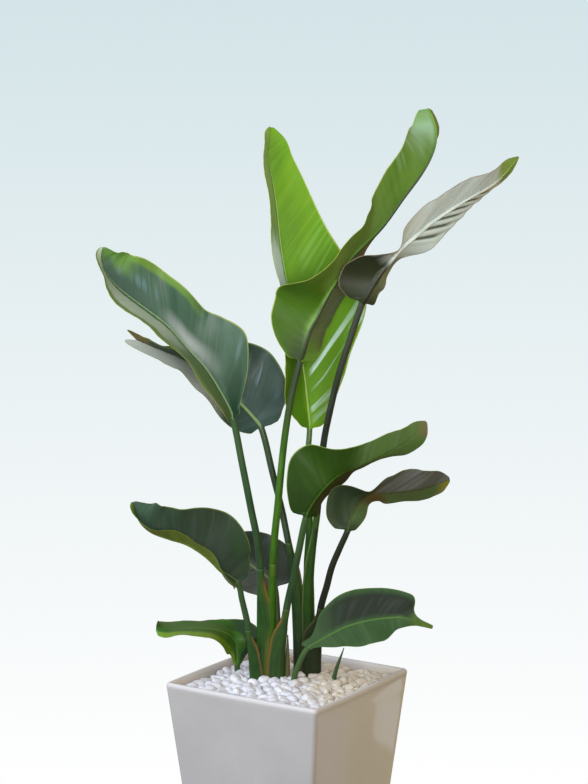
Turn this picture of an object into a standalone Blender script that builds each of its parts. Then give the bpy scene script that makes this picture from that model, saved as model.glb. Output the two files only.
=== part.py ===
"""A giant white bird of paradise in a tapered square glazed pot topped with white pebbles.

Metres, +Z up. The origin is the centre of the pot's underside. The pot's sides lie along X and Y.
The plant is described in millimetres as it is seen from the front corner of the pot:
x to the right, y away from the viewer, z up from the pot's underside.
"""
import math
import random

import bmesh
import bpy
from mathutils import Matrix, Vector

MM = 0.001
GAP = 0.0003

POT_TOP_SIDE = 0.330
POT_BASE_SIDE = 0.260
POT_HEIGHT = 0.340
POT_WALL = 0.011
POT_FLOOR = 0.014
POT_CORNER = 0.008
POT_INNER_CORNER = 0.004
POT_SIDE_BOW = 0.0025
FOOT_ROUND = 0.005
LIP_HEIGHT = 0.007
LIP_LEAN = 0.0006
LIP_STEPS = 6
DRAIN_HOLE_RADIUS = 0.007
DRAIN_HOLE_PLACE = 0.055

SOIL_TOP = 0.300
STONE_BED_TOP = 0.325
STONE_SPACING = 0.0226
STONE_RADIUS = 0.0120
STONE_SHIFT = 0.005
STONE_DIP = 0.003
STONE_RISE = 0.002
STONE_MOUND = 0.003
STONE_SLOPE = 0.35

PLANT_TURN = math.radians(32.8)
TOWARDS_VIEWER = Vector((0, -1, 0))

BLADE_THICKNESS = 1.2
LEAST_HALF_WIDTH = 2.2
RIB_SHARE = 0.45
BLADE_RINGS = 16
PETIOLE_RINGS = 3
SHEATH_RINGS = 6
SHEATH_WALL = (1.0, 0.66, 0.33)
MARGIN_TAPER = 0.42
CORNER_STEPS = 2
ACROSS = (0.5, 1.0)
STEM_ANGLES = (0, 34, 62, 83)

# Each sheath folds round the fan from its keel, on the left or right side, and its two margins
# meet on the other side. Rows: place from the root to the joint 0 to 1, how far the margins reach
# past the stalk's middle and half the thickness across the fold, both in mm.
SHEATHS = {
    "leaf_upper_left": (
        -1, [(0, 16, 9), (0.3, 21, 9), (0.64, 23, 8), (0.85, 14, 7.4), (1, 7, 7)],
    ),
    "leaf_left_middle": (
        -1, [(0, 18, 9), (0.46, 16, 8.5), (0.76, 12, 7.2), (0.9, 8, 6.2), (1, 5.8, 5.8)],
    ),
    "leaf_top_right": (
        1, [(0, 18, 9), (0.5, 15, 9), (0.8, 11, 8.4), (0.92, 8, 7.4), (1, 7.2, 7.2)],
    ),
    "leaf_right_middle": (
        1, [(0, 22, 12), (0.4, 22, 12), (0.7, 19, 10), (0.8, 16, 9), (0.9, 10, 7.4), (1, 7, 7)],
    ),
    "leaf_back_middle": (
        1, [(0, 10, 7.5), (0.5, 9, 7), (0.8, 7, 6), (1, 5.4, 5.4)],
    ),
    "leaf_upper_left_behind": (
        -1, [(0, 18, 10), (0.4, 17, 10), (0.72, 14, 9), (0.9, 14.5, 7.5), (1, 7, 6.4)],
    ),
    "leaf_top_centre": (
        -1, [(0, 14, 9), (0.5, 13, 9), (0.8, 9, 8), (0.93, 7, 6.8), (1, 6.2, 6.2)],
    ),
    "leaf_right_high": (
        1, [(0, 16, 10), (0.5, 14, 9), (0.82, 9, 7.8), (0.93, 7, 7), (1, 6.4, 6.4)],
    ),
    "leaf_right_dark": (
        1, [(0, 26, 12), (0.5, 27, 12), (0.77, 24, 10), (0.9, 14, 7.5), (1, 5.8, 5.8)],
    ),
}
OLD_SHEATH = {
    "crown": "crown_left",
    "line": [(-4, 24, 266), (-2, 22, 340), (-1, 20, 412)],
    "radii": (6.5, 6.2, 4.6, 1.0),
}
SHOOT = {
    "line": [(85, 16, 266), (86, 16, 330), (104, 10, 390)],
    "radii": (4.6, 4.8, 4.4, 3.0, 0.8),
}

# Each leaf: the petiole's line, then the midrib's line from the base of the blade to its tip.
# right and left: place along the blade 0 to 1, half width in mm, tilt towards the viewer and
# further curl at the edge in degrees, and how far the veins sweep forward per mm of width.
LEAVES = {
    "leaf_upper_left": {
        "crown": "crown_left",
        "sheath": [(-50, 27, 266), (-50, 25, 340), (-51, 18, 450)],
        "petiole": [(-52, 10, 542), (-58, 4, 600), (-68, -2, 653), (-85, -12, 745)],
        "midrib": [
            (-101, -20, 828), (-115, -24, 861), (-149, -28, 918), (-182, -32, 956),
            (-219, -38, 999), (-263, -45, 1034), (-306, -52, 1069), (-327, -56, 1097),
            (-333, -58, 1121), (-330, -60, 1141),
        ],
        "right": [
            (0, 8, 10, 0, -0.4), (0.06, 25, 5, 10, -0.1), (0.15, 68, 0, 10, 0.15),
            (0.24, 96, 0, -5, 0.2), (0.32, 86, 0, -5, 0.25), (0.42, 70, 0, -5, 0.3),
            (0.55, 74, 0, 0, 0.35), (0.72, 73, 0, 0, 0.3), (0.85, 57, 0, 0, 0.2),
            (0.94, 40, 0, 0, 0.28), (1, 5, 0, 0, 0.2),
        ],
        "left": [
            (0, 8, 70, 0, -0.4), (0.06, 44, 76, 0, -0.3), (0.15, 60, 78, 0, 0.1),
            (0.4, 74, 81, 0, 0.3), (0.6, 74, 78, 0, 0.3), (0.8, 60, 80, 0, 0.3),
            (0.92, 26, 84, 0, 0.2), (1, 5, 20, 0, 0.0),
        ],
        "wave": (4, 4, 0.5),
        "keel_front": False,
        "stem": (6.9, 6.1),
        "upper": (0.058, 0.118, 0.062),
        "roughness": 0.34,
    },
    "leaf_upper_left_behind": {
        "crown": "crown_right",
        "sheath": [(20, 57, 266), (20, 56, 340), (16, 55, 454), (8, 54, 544)],
        "petiole": [(0, 55, 582), (-12, 58, 642), (-30, 60, 715)],
        "midrib": [
            (-50, 60, 797), (-64, 70, 815), (-88, 80, 839), (-141, 100, 883),
            (-204, 120, 922), (-250, 128, 940), (-287, 132, 955),
        ],
        "right": [
            (0, 8, 10, 0, -0.6), (0.06, 56, 5, 0, -0.35), (0.15, 97, 0, 0, 0.0),
            (0.26, 108, 0, 0, 0.15), (0.45, 82, 40, 0, 0.3), (0.7, 50, 70, 0, 0.4),
            (0.9, 26, 62, 0, 0.7), (1, 13, 30, 0, 1.8),
        ],
        "left": [
            (0, 8, 10, 0, -0.5), (0.06, 33, 20, 0, -0.2), (0.15, 48, 28, 0, 0.0),
            (0.4, 54, 61, 0, 0.2), (0.65, 46, 70, 0, 0.3), (0.88, 24, 52, 0, 0.6),
            (1, 4, 20, 0, 3.4),
        ],
        "wave": (3, 4, 1.2),
        "keel_front": False,
        "stem": (6.3, 6.0),
        "upper": (0.052, 0.085, 0.060),
        "roughness": 0.36,
    },
    "leaf_top_centre": {
        "crown": "crown_right",
        "sheath": [(38, 58, 266), (37, 56, 380), (37, 54, 520)],
        "petiole": [(40, 52, 641), (38, 58, 700), (37, 66, 750)],
        "midrib": [
            (40, 72, 794), (38, 78, 820), (31, 84, 884), (26, 88, 914), (10, 92, 1000),
            (-2, 95, 1060), (-14, 100, 1130), (-22, 108, 1204), (-29, 115, 1250),
            (-38, 122, 1300), (-32, 130, 1354),
        ],
        "right": [
            (0, 8, 0, 0, -0.3), (0.04, 36, 0, 0, -0.1), (0.12, 62, 0, 5, 0.0),
            (0.2, 92, 0, 10, 0.1), (0.33, 140, 0, 10, 0.2), (0.46, 118, 0, 10, 0.3),
            (0.58, 93, 0, 10, 0.35), (0.7, 70, 0, 10, 0.35), (0.82, 52, 0, 10, 0.3),
            (0.94, 34, 0, 0, 0.3), (1, 5, 0, 0, 0.1),
        ],
        "left": [
            (0, 8, 40, 0, -0.3), (0.04, 34, 42, 0, -0.1), (0.09, 54, 42, 0, 0.0),
            (0.2, 68, 66, 0, 0.1), (0.4, 84, 81, 0, 0.3), (0.5, 82, 81.5, 0, 0.3),
            (0.6, 80, 80, 0, 0.3), (0.7, 74, 80, 0, 0.3), (0.8, 60, 80, 0, 0.3),
            (0.92, 32, 80, 0, 0.2), (1, 5, 35, 0, 0.1),
        ],
        "wave": (3, 3, 2.0),
        "keel_front": False,
        "stem": (6.0, 5.2),
        "upper": (0.155, 0.300, 0.040),
        "roughness": 0.34,
    },
    "leaf_top_right": {
        "crown": "crown_left",
        "sheath": [(-34, 30, 266), (-33, 28, 340), (-31, 20, 460)],
        "petiole": [(-29, 15, 550), (-25, 10, 604), (-20, 2, 653), (-8, -8, 776), (5, -16, 862)],
        "midrib": [
            (22, -20, 932), (39, -24, 989), (52, -26, 1013), (76, -28, 1062), (99, -25, 1097),
            (116, -20, 1123), (140, -12, 1146), (170, -5, 1175), (208, 0, 1226),
            (245, 10, 1275), (265, 20, 1315), (269, 30, 1351), (256, 40, 1388),
        ],
        "right": [
            (0, 8, -30, 0, -0.4), (0.03, 34, -38, 0, -0.1), (0.08, 58, -58, 0, 0.0),
            (0.16, 74, -65, 0, 0.1),
            (0.26, 84, -65, 0, 0.2), (0.34, 84, -70, 0, 0.3), (0.46, 80, -81, 0, 0.3),
            (0.66, 74, -87, 0, 0.3), (0.86, 60, -88, 0, 0.2), (1, 14, -70, 0, -0.2),
        ],
        "left": [
            (0, 8, 0, 0, -0.4), (0.05, 40, 0, 0, -0.3), (0.11, 75, 5, 0, 0.0),
            (0.18, 90, 14, 0, 0.1), (0.25, 82, 56, 0, 0.1), (0.31, 84, 70, 0, 0.1),
            (0.40, 84, 70, 0, 0.15), (0.52, 84, 56, 0, 0.2), (0.66, 79, 45, 0, 0.2),
            (0.77, 73, 35, 0, 0.2), (0.86, 63, 26, 0, 0.1), (0.94, 46, 20, 0, 0.1),
            (1, 20, 20, 0, 0.1),
        ],
        "wave": (2, 3, 0.0),
        "keel_front": True,
        "stem": (7.0, 6.0),
        "upper": (0.098, 0.215, 0.050),
        "roughness": 0.34,
        "rings": 20,
    },
    "leaf_right_high": {
        "crown": "crown_right",
        "sheath": [(45, 55, 266), (41, 50, 380), (40, 45, 520)],
        "petiole": [(54, 40, 641), (65, 25, 770), (77, -6, 841), (92, -28, 908), (115, -48, 985)],
        "midrib": [
            (133, -60, 1041), (145, -62, 1063), (163, -64, 1093), (176, -64, 1109),
            (197, -62, 1136), (229, -54, 1162), (257, -44, 1185), (315, -32, 1222),
            (374, -16, 1256), (416, 0, 1300),
        ],
        "right": [
            (0, 7, -20, 0, -0.3), (0.06, 44, -61, 0, -0.1), (0.13, 61, -65, 0, -0.2),
            (0.21, 60, -75, 0, 0.0), (0.29, 60, -70, 0, 0.1), (0.4, 60, -49, 0, 0.3),
            (0.49, 60, -52, 0, 0.35), (0.58, 58, -61, 0, 0.35), (0.67, 54, -70, 0, 0.3),
            (0.84, 42, -74, 0, 0.2), (1, 2.5, -60, 0, 0.1),
        ],
        "left": [
            (0, 7, 0, 0, -0.4), (0.06, 49, 0, 0, -0.4), (0.12, 62, 5, 0, -0.2),
            (0.17, 60, 32, 0, -0.1), (0.22, 54, 62, 0, 0.0), (0.28, 52, 87, 0, 0.0),
            (0.34, 64, 66, 0, 0.0), (0.4, 61, 56, 0, 0.2), (0.5, 60, 55, 0, 0.3),
            (0.67, 57, 56, 0, 0.3), (0.84, 42, 58, 0, 0.2), (1, 2.5, 50, 0, 0.1),
        ],
        "wave": (2, 3, 0.4),
        "ridges": (1, 0.31, 0.74, 6, 3.2),
        "keel_front": True,
        "stem": (6.4, 5.8),
        "upper": (0.300, 0.320, 0.270),
        "roughness": 0.42,
        "rings": 20,
    },
    "leaf_right_middle": {
        "crown": "crown_left",
        "sheath": [(-18, 23, 266), (-17, 19, 370)],
        "petiole": [(-3, 8, 466), (10, -10, 531), (20, -30, 585)],
        "midrib": [
            (33, -46, 650), (44, -50, 672), (66, -52, 702), (95, -54, 729), (129, -56, 744),
            (176, -58, 768), (221, -56, 796), (250, -50, 825),
        ],
        "right": [
            (0, 7, -20, 0, -0.3), (0.07, 40, -60, 0, -0.2), (0.2, 60, -70, 0, 0.1),
            (0.32, 60, -66, 0, 0.15), (0.42, 60, -76, 0, 0.2), (0.5, 60, -80, 0, 0.3),
            (0.62, 58, -69, 0, 0.3), (0.75, 52, -59, 0, 0.3), (0.88, 42, -46, 0, 0.2),
            (1, 3, -40, 0, 0.1),
        ],
        "left": [
            (0, 7, 10, 0, -0.6), (0.07, 45, 0, 0, -0.15), (0.14, 67, 0, 0, 0.0),
            (0.21, 84, 0, 0, 0.1), (0.28, 80, 0, 0, 0.2), (0.36, 64, 34, 0, 0.25),
            (0.42, 62, 46, 0, 0.3), (0.58, 60, 47, 0, 0.3), (0.72, 52, 51, 0, 0.3),
            (0.88, 34, 46, 0, 0.2), (1, 3, 40, 0, 0.1),
        ],
        "wave": (3, 4, 0.8),
        "keel_front": False,
        "stem": (6.8, 6.0),
        "upper": (0.060, 0.150, 0.032),
        "roughness": 0.34,
    },
    "leaf_right_dark": {
        "crown": "crown_right",
        "sheath": [(50, 54, 266), (51, 48, 370)],
        "petiole": [(61, 30, 462), (72, 19, 506), (81, 6, 545), (97, -10, 588)],
        "midrib": [
            (109, -20, 618), (117, -20, 646), (132, -20, 672), (156, -22, 687), (189, -24, 690),
            (242, -24, 697), (282, -20, 710), (296, -18, 714),
        ],
        "right": [
            (0, 6, -30, 0, -0.5), (0.08, 22, -20, 0, -0.1), (0.22, 44, -56, 0, 0.2),
            (0.42, 46, -54, 0, 0.2), (0.65, 52, -58, 0, 0.2), (0.85, 40, -48, 0, 0.1),
            (1, 5, -30, 0, 0.0),
        ],
        "left": [
            (0, 7, 10, 0, -0.6), (0.05, 30, 0, 0, -0.3), (0.1, 46, 0, 0, -0.1),
            (0.2, 59, 15, 0, 0.2), (0.32, 52, 75, 0, 0.3), (0.45, 56, 46, 0, 0.3),
            (0.65, 56, 38, 0, 0.2), (0.85, 40, 42, 0, 0.2), (1, 5, 30, 0, 0.0),
        ],
        "wave": (2, 3, 0.0),
        "keel_front": False,
        "stem": (6.6, 5.6),
        "upper": (0.060, 0.075, 0.050),
        "roughness": 0.36,
        "rings": 13,
    },
    "leaf_right_low": {
        "petiole": [(10, 7, 266), (10, 6, 325), (20, -8, 365)],
        "midrib": [
            (36, -28, 400), (53, -40, 414), (78, -50, 431), (104, -60, 447), (134, -70, 459),
            (162, -80, 467), (189, -90, 472), (206, -98, 474), (233, -100, 467),
            (262, -92, 455),
        ],
        "right": [
            (0, 7, 40, 0, -0.4), (0.1, 11, 50, 0, -0.1), (0.25, 34, 50, 0, 0.1),
            (0.42, 50, 50, 0, 0.2), (0.6, 49, 50, 0, 0.2), (0.74, 30, 50, 0, 0.1),
            (0.86, 9, 40, 0, 0.1), (1, 3, 30, 0, 0.0),
        ],
        "left": [
            (0, 7, 0, 0, -2.2), (0.04, 12, -20, 0, -1.4), (0.09, 15, -30, 0, -0.4),
            (0.13, 26, -36, 0, -0.1), (0.18, 46, -38, 0, 0.0), (0.25, 60, -42, 0, 0.1),
            (0.42, 68, -44, 0, 0.2), (0.6, 58, -44, 0, 0.35), (0.73, 43, -42, 0, 0.6),
            (0.8, 20, -36, 0, 0.5), (0.88, 8, -30, 0, 0.1), (1, 3, -20, 0, 0.0),
        ],
        "wave": (2, 4, 0.0),
        "keel_front": False,
        "stem": (6.0, 4.8),
        "upper": (0.050, 0.110, 0.050),
        "roughness": 0.32,
        "rings": 14,
    },
    "leaf_left_middle": {
        "crown": "crown_left",
        "sheath": [(-60, 25, 266), (-65, 16, 350)],
        "petiole": [(-74, -8, 430), (-78, -17, 456), (-85, -27, 490)],
        "midrib": [
            (-92, -38, 525), (-103, -46, 537), (-120, -56, 550), (-141, -64, 573),
            (-161, -72, 591), (-186, -80, 607), (-214, -88, 617), (-248, -96, 632),
            (-268, -101, 654), (-277, -104, 688),
        ],
        "right": [
            (0, 8, 0, 0, -0.6), (0.07, 34, 0, 0, -0.5), (0.18, 65, 0, 0, -0.2),
            (0.34, 87, 0, 0, 0.0), (0.46, 80, 5, 0, 0.1), (0.56, 66, 14, 0, 0.15),
            (0.66, 62, 18, 0, 0.2), (0.76, 61, 20, 0, 0.2), (0.88, 46, 25, 0, 0.42),
            (1, 4, 20, 0, 0.2),
        ],
        "left": [
            (0, 8, 30, 0, -0.4), (0.07, 24, 62, 0, -0.2), (0.2, 38, 102, 0, 0.0),
            (0.4, 48, 113, 0, 0.1), (0.62, 54, 117, 0, 0.2), (0.8, 40, 104, 0, 0.2),
            (0.92, 18, 86, 0, 0.1), (1, 4, 20, 0, 0.1),
        ],
        "wave": (3, 4, 0.0),
        "keel_front": False,
        "stem": (6.0, 5.2),
        "upper": (0.052, 0.085, 0.060),
        "roughness": 0.34,
        "rings": 15,
    },
    "leaf_back_middle": {
        "crown": "crown_left",
        "sheath": [(-30, 38, 266), (-22, 42, 350)],
        "petiole": [(-20, 52, 412), (-21, 66, 452)],
        "midrib": [
            (-25, 87, 488), (-32, 90, 499), (-44, 94, 510), (-59, 100, 519),
            (-77, 106, 532), (-100, 112, 551), (-124, 116, 570),
        ],
        "right": [
            (0, 8, 0, 0, -0.8), (0.03, 28, 0, 0, -0.6), (0.07, 42, 0, 0, -0.4),
            (0.14, 61, 0, 0, -0.18), (0.3, 72, 0, 0, 0.0), (0.6, 61, 0, 0, 0.15),
            (0.85, 34, 0, 0, 0.2), (1, 3, 0, 0, 0.1),
        ],
        "left": [
            (0, 8, 0, 0, -0.9), (0.06, 28, 0, 0, -0.6), (0.16, 37, 0, 0, -0.3),
            (0.35, 49, 0, 0, 0.0), (0.6, 54, 0, 0, 0.1), (0.85, 34, 0, 0, 0.2),
            (1, 3, 0, 0, 0.1),
        ],
        "wave": (3, 3, 0.0),
        "keel_front": False,
        "stem": (5.6, 5.0),
        "upper": (0.085, 0.090, 0.082),
        "roughness": 0.40,
        "rings": 13,
    },
    "leaf_left_low": {
        "petiole": [(-97, 75, 266), (-97, 74, 300), (-97, 72, 322)],
        "midrib": [
            (-97, 70, 342), (-97, 66, 363), (-100, 60, 388), (-113, 50, 406),
            (-136, 38, 418), (-165, 26, 424), (-198, 16, 426), (-229, 6, 428), (-246, 2, 430),
        ],
        "right": [
            (0, 7, 0, 0, -0.3), (0.06, 12, 0, 0, -0.2), (0.12, 22, 0, 0, -0.1), (0.16, 42, 0, 0, -0.05),
            (0.21, 50, 0, 0, 0.05), (0.27, 44, -62, 0, 0.1), (0.36, 42, -80, 0, 0.0),
            (0.46, 40, -85, 0, 0.1), (0.6, 40, -86, 0, 0.2), (0.75, 38, -86, 0, 0.2),
            (0.88, 34, -80, 0, 0.2), (0.96, 22, -66, 0, 0.1), (1, 5, -20, 0, 0.0),
        ],
        "left": [
            (0, 7, 20, 0, -0.3), (0.06, 10, 25, 0, -0.2), (0.12, 16, 35, 0, -0.1), (0.2, 29, 48, 0, -0.2),
            (0.36, 42, 58, 0, 0.0), (0.46, 42, 70, 0, 0.1), (0.6, 40, 82, 0, 0.2),
            (0.75, 38, 84, 0, 0.2), (0.88, 34, 79, 0, 0.2), (0.96, 22, 62, 0, 0.1),
            (1, 5, 20, 0, 0.0),
        ],
        "wave": (2, 3, 0.0),
        "keel_front": False,
        "stem": (6.0, 5.4),
        "upper": (0.062, 0.165, 0.055),
        "roughness": 0.34,
        "rings": 14,
    },
}


def along(stations, place):
    """The station values at a place along the blade, on a smooth line through all of them."""
    last = len(stations) - 1
    i = 0
    while i < last - 1 and place > stations[i + 1][0]:
        i += 1
    a, b = stations[i], stations[i + 1]
    before = stations[max(i - 1, 0)]
    after = stations[min(i + 2, last)]
    span = b[0] - a[0]
    f = min(max((place - a[0]) / span, 0.0), 1.0)
    values = []
    for k in range(1, len(a)):
        step = b[k] - a[k]
        rise_a = (b[k] - before[k]) / max(b[0] - before[0], 1e-6) * span
        rise_b = (after[k] - a[k]) / max(after[0] - a[0], 1e-6) * span
        if i == 0:
            rise_a = 1.6 * step if k == 1 else step
        if i + 1 == last:
            rise_b = 1.6 * step if k == 1 else step
        h = f * f * (3 - 2 * f)
        values.append(
            a[k] + step * h + rise_a * f * (1 - f) ** 2 - rise_b * f * f * (1 - f)
        )
    return values


def smooth_line(points, steps):
    """Points on a smooth line through the given ones, with the index of each given point."""
    pts = [Vector(p) for p in points]
    line = []
    marks = []
    for i in range(len(pts) - 1):
        p0 = pts[max(i - 1, 0)]
        p1, p2 = pts[i], pts[i + 1]
        p3 = pts[min(i + 2, len(pts) - 1)]
        marks.append(len(line))
        reach = (p2 - p1).length
        m1 = (p2 - p0).normalized() * reach
        m2 = (p3 - p1).normalized() * reach
        for j in range(steps):
            f = j / steps
            h00 = 2 * f ** 3 - 3 * f ** 2 + 1
            h10 = f ** 3 - 2 * f ** 2 + f
            h01 = 3 * f ** 2 - 2 * f ** 3
            h11 = f ** 3 - f ** 2
            line.append(p1 * h00 + m1 * h10 + p2 * h01 + m2 * h11)
    marks.append(len(line))
    line.append(pts[-1])
    return line, marks


def at_length(line, start, end, share):
    """Place and direction at a share of the length between two indices of a line."""
    lengths = [0.0]
    for i in range(start, end):
        lengths.append(lengths[-1] + (line[i + 1] - line[i]).length)
    target = share * lengths[-1]
    i = 0
    while i < len(lengths) - 2 and lengths[i + 1] < target:
        i += 1
    f = (target - lengths[i]) / (lengths[i + 1] - lengths[i])
    place = line[start + i].lerp(line[start + i + 1], f)
    lo = max(start + i - 2, 0)
    hi = min(start + i + 3, len(line) - 1)
    return place, (line[hi] - line[lo]).normalized()


def frame_of(direction):
    """Sideways and towards-the-viewer axes square to a direction."""
    side = direction.cross(TOWARDS_VIEWER).normalized()
    return side, side.cross(direction).normalized()


def ridge_height(leaf, sign, place):
    """How far the folds along the veins lift one half of the blade at a place along it."""
    if "ridges" not in leaf:
        return 0.0
    half, start, end, count, height = leaf["ridges"]
    f = (place - start) / (end - start)
    if half != sign or not 0 < f < 1:
        return 0.0
    return height * math.sin(math.tau * count * f) * math.sin(math.pi * f) ** 0.5


def half_blade(leaf, row, sign, distance, axes, place):
    """A point of one half of the blade and the blade's normal there."""
    side, front, direction = axes
    width, tilt, curl, sweep = row
    q = distance / width
    start = math.radians(tilt)
    bend = math.radians(curl)
    angle = start + bend * q
    if abs(bend) < 1e-3:
        out = distance * math.cos(start)
        lift = distance * math.sin(start)
    else:
        out = width / bend * (math.sin(angle) - math.sin(start))
        lift = width / bend * (math.cos(start) - math.cos(angle))
    normal = side * (-sign * math.sin(angle)) + front * math.cos(angle)
    height, count, phase = leaf["wave"]
    ripple = height * q * q * math.sin(2 * math.pi * count * place + phase + sign)
    ripple *= math.sin(math.pi * min(place * 1.05, 1.0)) ** 0.5
    ripple += ridge_height(leaf, sign, place) * min(1.0, 2.5 * q) * (1.0 - 0.75 * q * q)
    point = side * (sign * out) + front * lift + direction * (sweep * distance)
    return point + normal * ripple, normal


def stem_ring(place, direction, radius):
    """Points round a stem: the front ones from left to right, then the back ones."""
    side, front = frame_of(direction)
    rows = []
    for facing in (1, -1):
        row = []
        for sign in (-1, 1):
            angles = STEM_ANGLES[:0:-1] if sign < 0 else STEM_ANGLES
            for degrees in angles:
                a = math.radians(degrees)
                out = side * (sign * radius * math.sin(a))
                row.append(place + out + front * (facing * radius * math.cos(a)))
        rows.append(row)
    return rows


def blade_ring(leaf, place, direction, share, radius):
    """Points round the blade at a share of its length, in the same order."""
    side, front = frame_of(direction)
    halves = {}
    for sign, key in ((-1, "left"), (1, "right")):
        row = along(leaf[key], share)
        row[0] = max(row[0], LEAST_HALF_WIDTH)
        keel = min(radius, row[0] * RIB_SHARE)
        distances = [0, keel] + [keel + (row[0] - keel) * f for f in ACROSS]
        points = []
        for d in distances:
            p, n = half_blade(leaf, row, sign, d, (side, front, direction), share)
            points.append([place + p, n])
        halves[sign] = points
    middle = halves[-1][0][1] + halves[1][0][1]
    middle = middle.normalized() if middle.length > 0.2 else front
    halves[-1][0][1] = middle
    halves[1][0][1] = middle
    points = halves[-1][:0:-1] + halves[1]
    centre = len(ACROSS) + 1
    rows = []
    for facing in (1, -1):
        row = []
        for i, (p, n) in enumerate(points):
            depth = BLADE_THICKNESS / 2
            if i == centre and (facing == 1) == leaf["keel_front"]:
                depth += radius
            row.append(p + n * (facing * depth))
        rows.append(row)
    return rows


def loft(rings):
    """A closed body through rings of front and back rows, split alike on both faces."""
    bm = bmesh.new()
    grid = []
    for front, back in rings:
        grid.append(([bm.verts.new(p) for p in front], [bm.verts.new(p) for p in back]))
    count = len(grid[0][0])
    for (fa, ba), (fb, bb) in zip(grid, grid[1:]):
        for i in range(count - 1):
            bm.faces.new((fa[i], fa[i + 1], fb[i + 1]))
            bm.faces.new((fa[i], fb[i + 1], fb[i]))
            bm.faces.new((ba[i + 1], ba[i], bb[i + 1]))
            bm.faces.new((bb[i + 1], ba[i], bb[i]))
        bm.faces.new((ba[0], fa[0], fb[0]))
        bm.faces.new((ba[0], fb[0], bb[0]))
        bm.faces.new((fa[-1], ba[-1], bb[-1]))
        bm.faces.new((fa[-1], bb[-1], fb[-1]))
    for row, turned in ((grid[0], True), (grid[-1], False)):
        front, back = row
        for i in range(count - 1):
            a = (front[i], front[i + 1], back[i + 1])
            b = (front[i], back[i + 1], back[i])
            bm.faces.new(a[::-1] if turned else a)
            bm.faces.new(b[::-1] if turned else b)
    bmesh.ops.recalc_face_normals(bm, faces=bm.faces)
    return bm


def leaf_line(leaf):
    """The leaf's whole middle line with the indices of its joint and of the blade's base."""
    sheath = leaf.get("sheath", [])
    line, marks = smooth_line(sheath + leaf["petiole"] + leaf["midrib"], 8)
    return line, marks[len(sheath)], marks[len(sheath) + len(leaf["petiole"])]


def ring_places(leaf, count):
    """Places of the rings along the blade, with one on each crest and trough of the folds."""
    places = [(i / count) ** 1.15 for i in range(1, count + 1)]
    if "ridges" in leaf:
        half, start, end, folds, height = leaf["ridges"]
        step = (end - start) / (2 * folds)
        places = [p for p in places if p < start - step / 2 or p > end + step / 2]
        places += [start + step * (k + 0.5) for k in range(2 * folds)]
        places.sort()
    return places


def leaf_rings(leaf, places, petiole_rings):
    """Rings from the foot of the petiole to the tip of the blade, in millimetres."""
    line, foot, base = leaf_line(leaf)
    foot_radius, neck_radius = leaf["stem"]
    rings = []
    for i in range(petiole_rings + 1):
        share = i / petiole_rings
        place, direction = at_length(line, foot, base, share)
        if i == 0:
            place = place + direction * (GAP / MM)
        radius = foot_radius + (neck_radius - foot_radius) * share
        rings.append(stem_ring(place, direction, radius))
    for share in places:
        place, direction = at_length(line, base, len(line) - 1, share)
        radius = neck_radius * (1 - share) ** 0.8 + 0.3
        rings.append(blade_ring(leaf, place, direction, share, radius))
    return rings


def sheath_ring(place, direction, keel, reach, thick):
    """Points round a folded sheath: the front ones from left to right, then the back ones."""
    side, front = frame_of(direction)
    points = [(-keel * reach * f, thick * (1 - MARGIN_TAPER * f * f)) for f in SHEATH_WALL]
    for degrees in STEM_ANGLES:
        a = math.radians(degrees)
        points.append((keel * thick * math.sin(a), thick * math.cos(a)))
    if keel < 0:
        points.reverse()
    rows = []
    for facing in (1, -1):
        rows.append([place + side * x + front * (facing * y) for x, y in points])
    return rows


def sheath_rings(name, extra):
    """Rings of the sheath that carries a leaf, from the root end to the joint."""
    line, foot, base = leaf_line(LEAVES[name])
    keel, stations = SHEATHS[name]
    rings = []
    for i in range(SHEATH_RINGS + 1):
        share = i / SHEATH_RINGS
        place, direction = at_length(line, 0, foot, share)
        if i == 0:
            place = place - direction * extra
        reach, thick = along(stations, share)
        rings.append(sheath_ring(place, direction, keel, reach + extra, thick + extra))
    return rings


def foot_rings(leaf, extra):
    """Rings round the buried end of a petiole that has no sheath."""
    line, foot, base = leaf_line(leaf)
    rings = []
    for i in range(PETIOLE_RINGS + 1):
        share = i / PETIOLE_RINGS
        place, direction = at_length(line, foot, base, share)
        if i == 0:
            place = place - direction * (extra - GAP / MM)
        foot_radius, neck_radius = leaf["stem"]
        radius = foot_radius + (neck_radius - foot_radius) * share
        rings.append(stem_ring(place, direction, radius + extra))
    return rings


def material(name, colour, roughness, metallic=0.0):
    mat = bpy.data.materials.new(name)
    mat.use_nodes = True
    shader = mat.node_tree.nodes["Principled BSDF"]
    shader.inputs["Base Color"].default_value = (*colour, 1)
    shader.inputs["Roughness"].default_value = roughness
    shader.inputs["Metallic"].default_value = metallic
    return mat


def add_object(name, bm, mat, smooth=True):
    mesh = bpy.data.meshes.new(name)
    bm.to_mesh(mesh)
    bm.free()
    if mat:
        mesh.materials.append(mat)
    for face in mesh.polygons:
        face.use_smooth = smooth
    ob = bpy.data.objects.new(name, mesh)
    bpy.context.scene.collection.objects.link(ob)
    return ob


def add_loft(name, rings, mat, smooth=True):
    """A body in the plant's own frame, turned to stand in the pot."""
    bm = loft(rings)
    bmesh.ops.scale(bm, vec=(MM, MM, MM), verts=bm.verts)
    ob = add_object(name, bm, mat, smooth)
    ob.rotation_euler = (0, 0, PLANT_TURN)
    return ob


def add_leaf(name, leaf):
    places = ring_places(leaf, leaf.get("rings", BLADE_RINGS))
    rings = leaf_rings(leaf, places, PETIOLE_RINGS)
    return add_loft(name, rings, material(name, leaf["upper"], leaf["roughness"]))


def group_of(objects, name):
    """Puts helper objects in a collection of their own, out of the render."""
    group = bpy.data.collections.new(name)
    bpy.context.scene.collection.children.link(group)
    for ob in objects:
        bpy.context.scene.collection.objects.unlink(ob)
        group.objects.link(ob)
        ob.hide_render = True
        ob.display_type = "WIRE"
    return group


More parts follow.
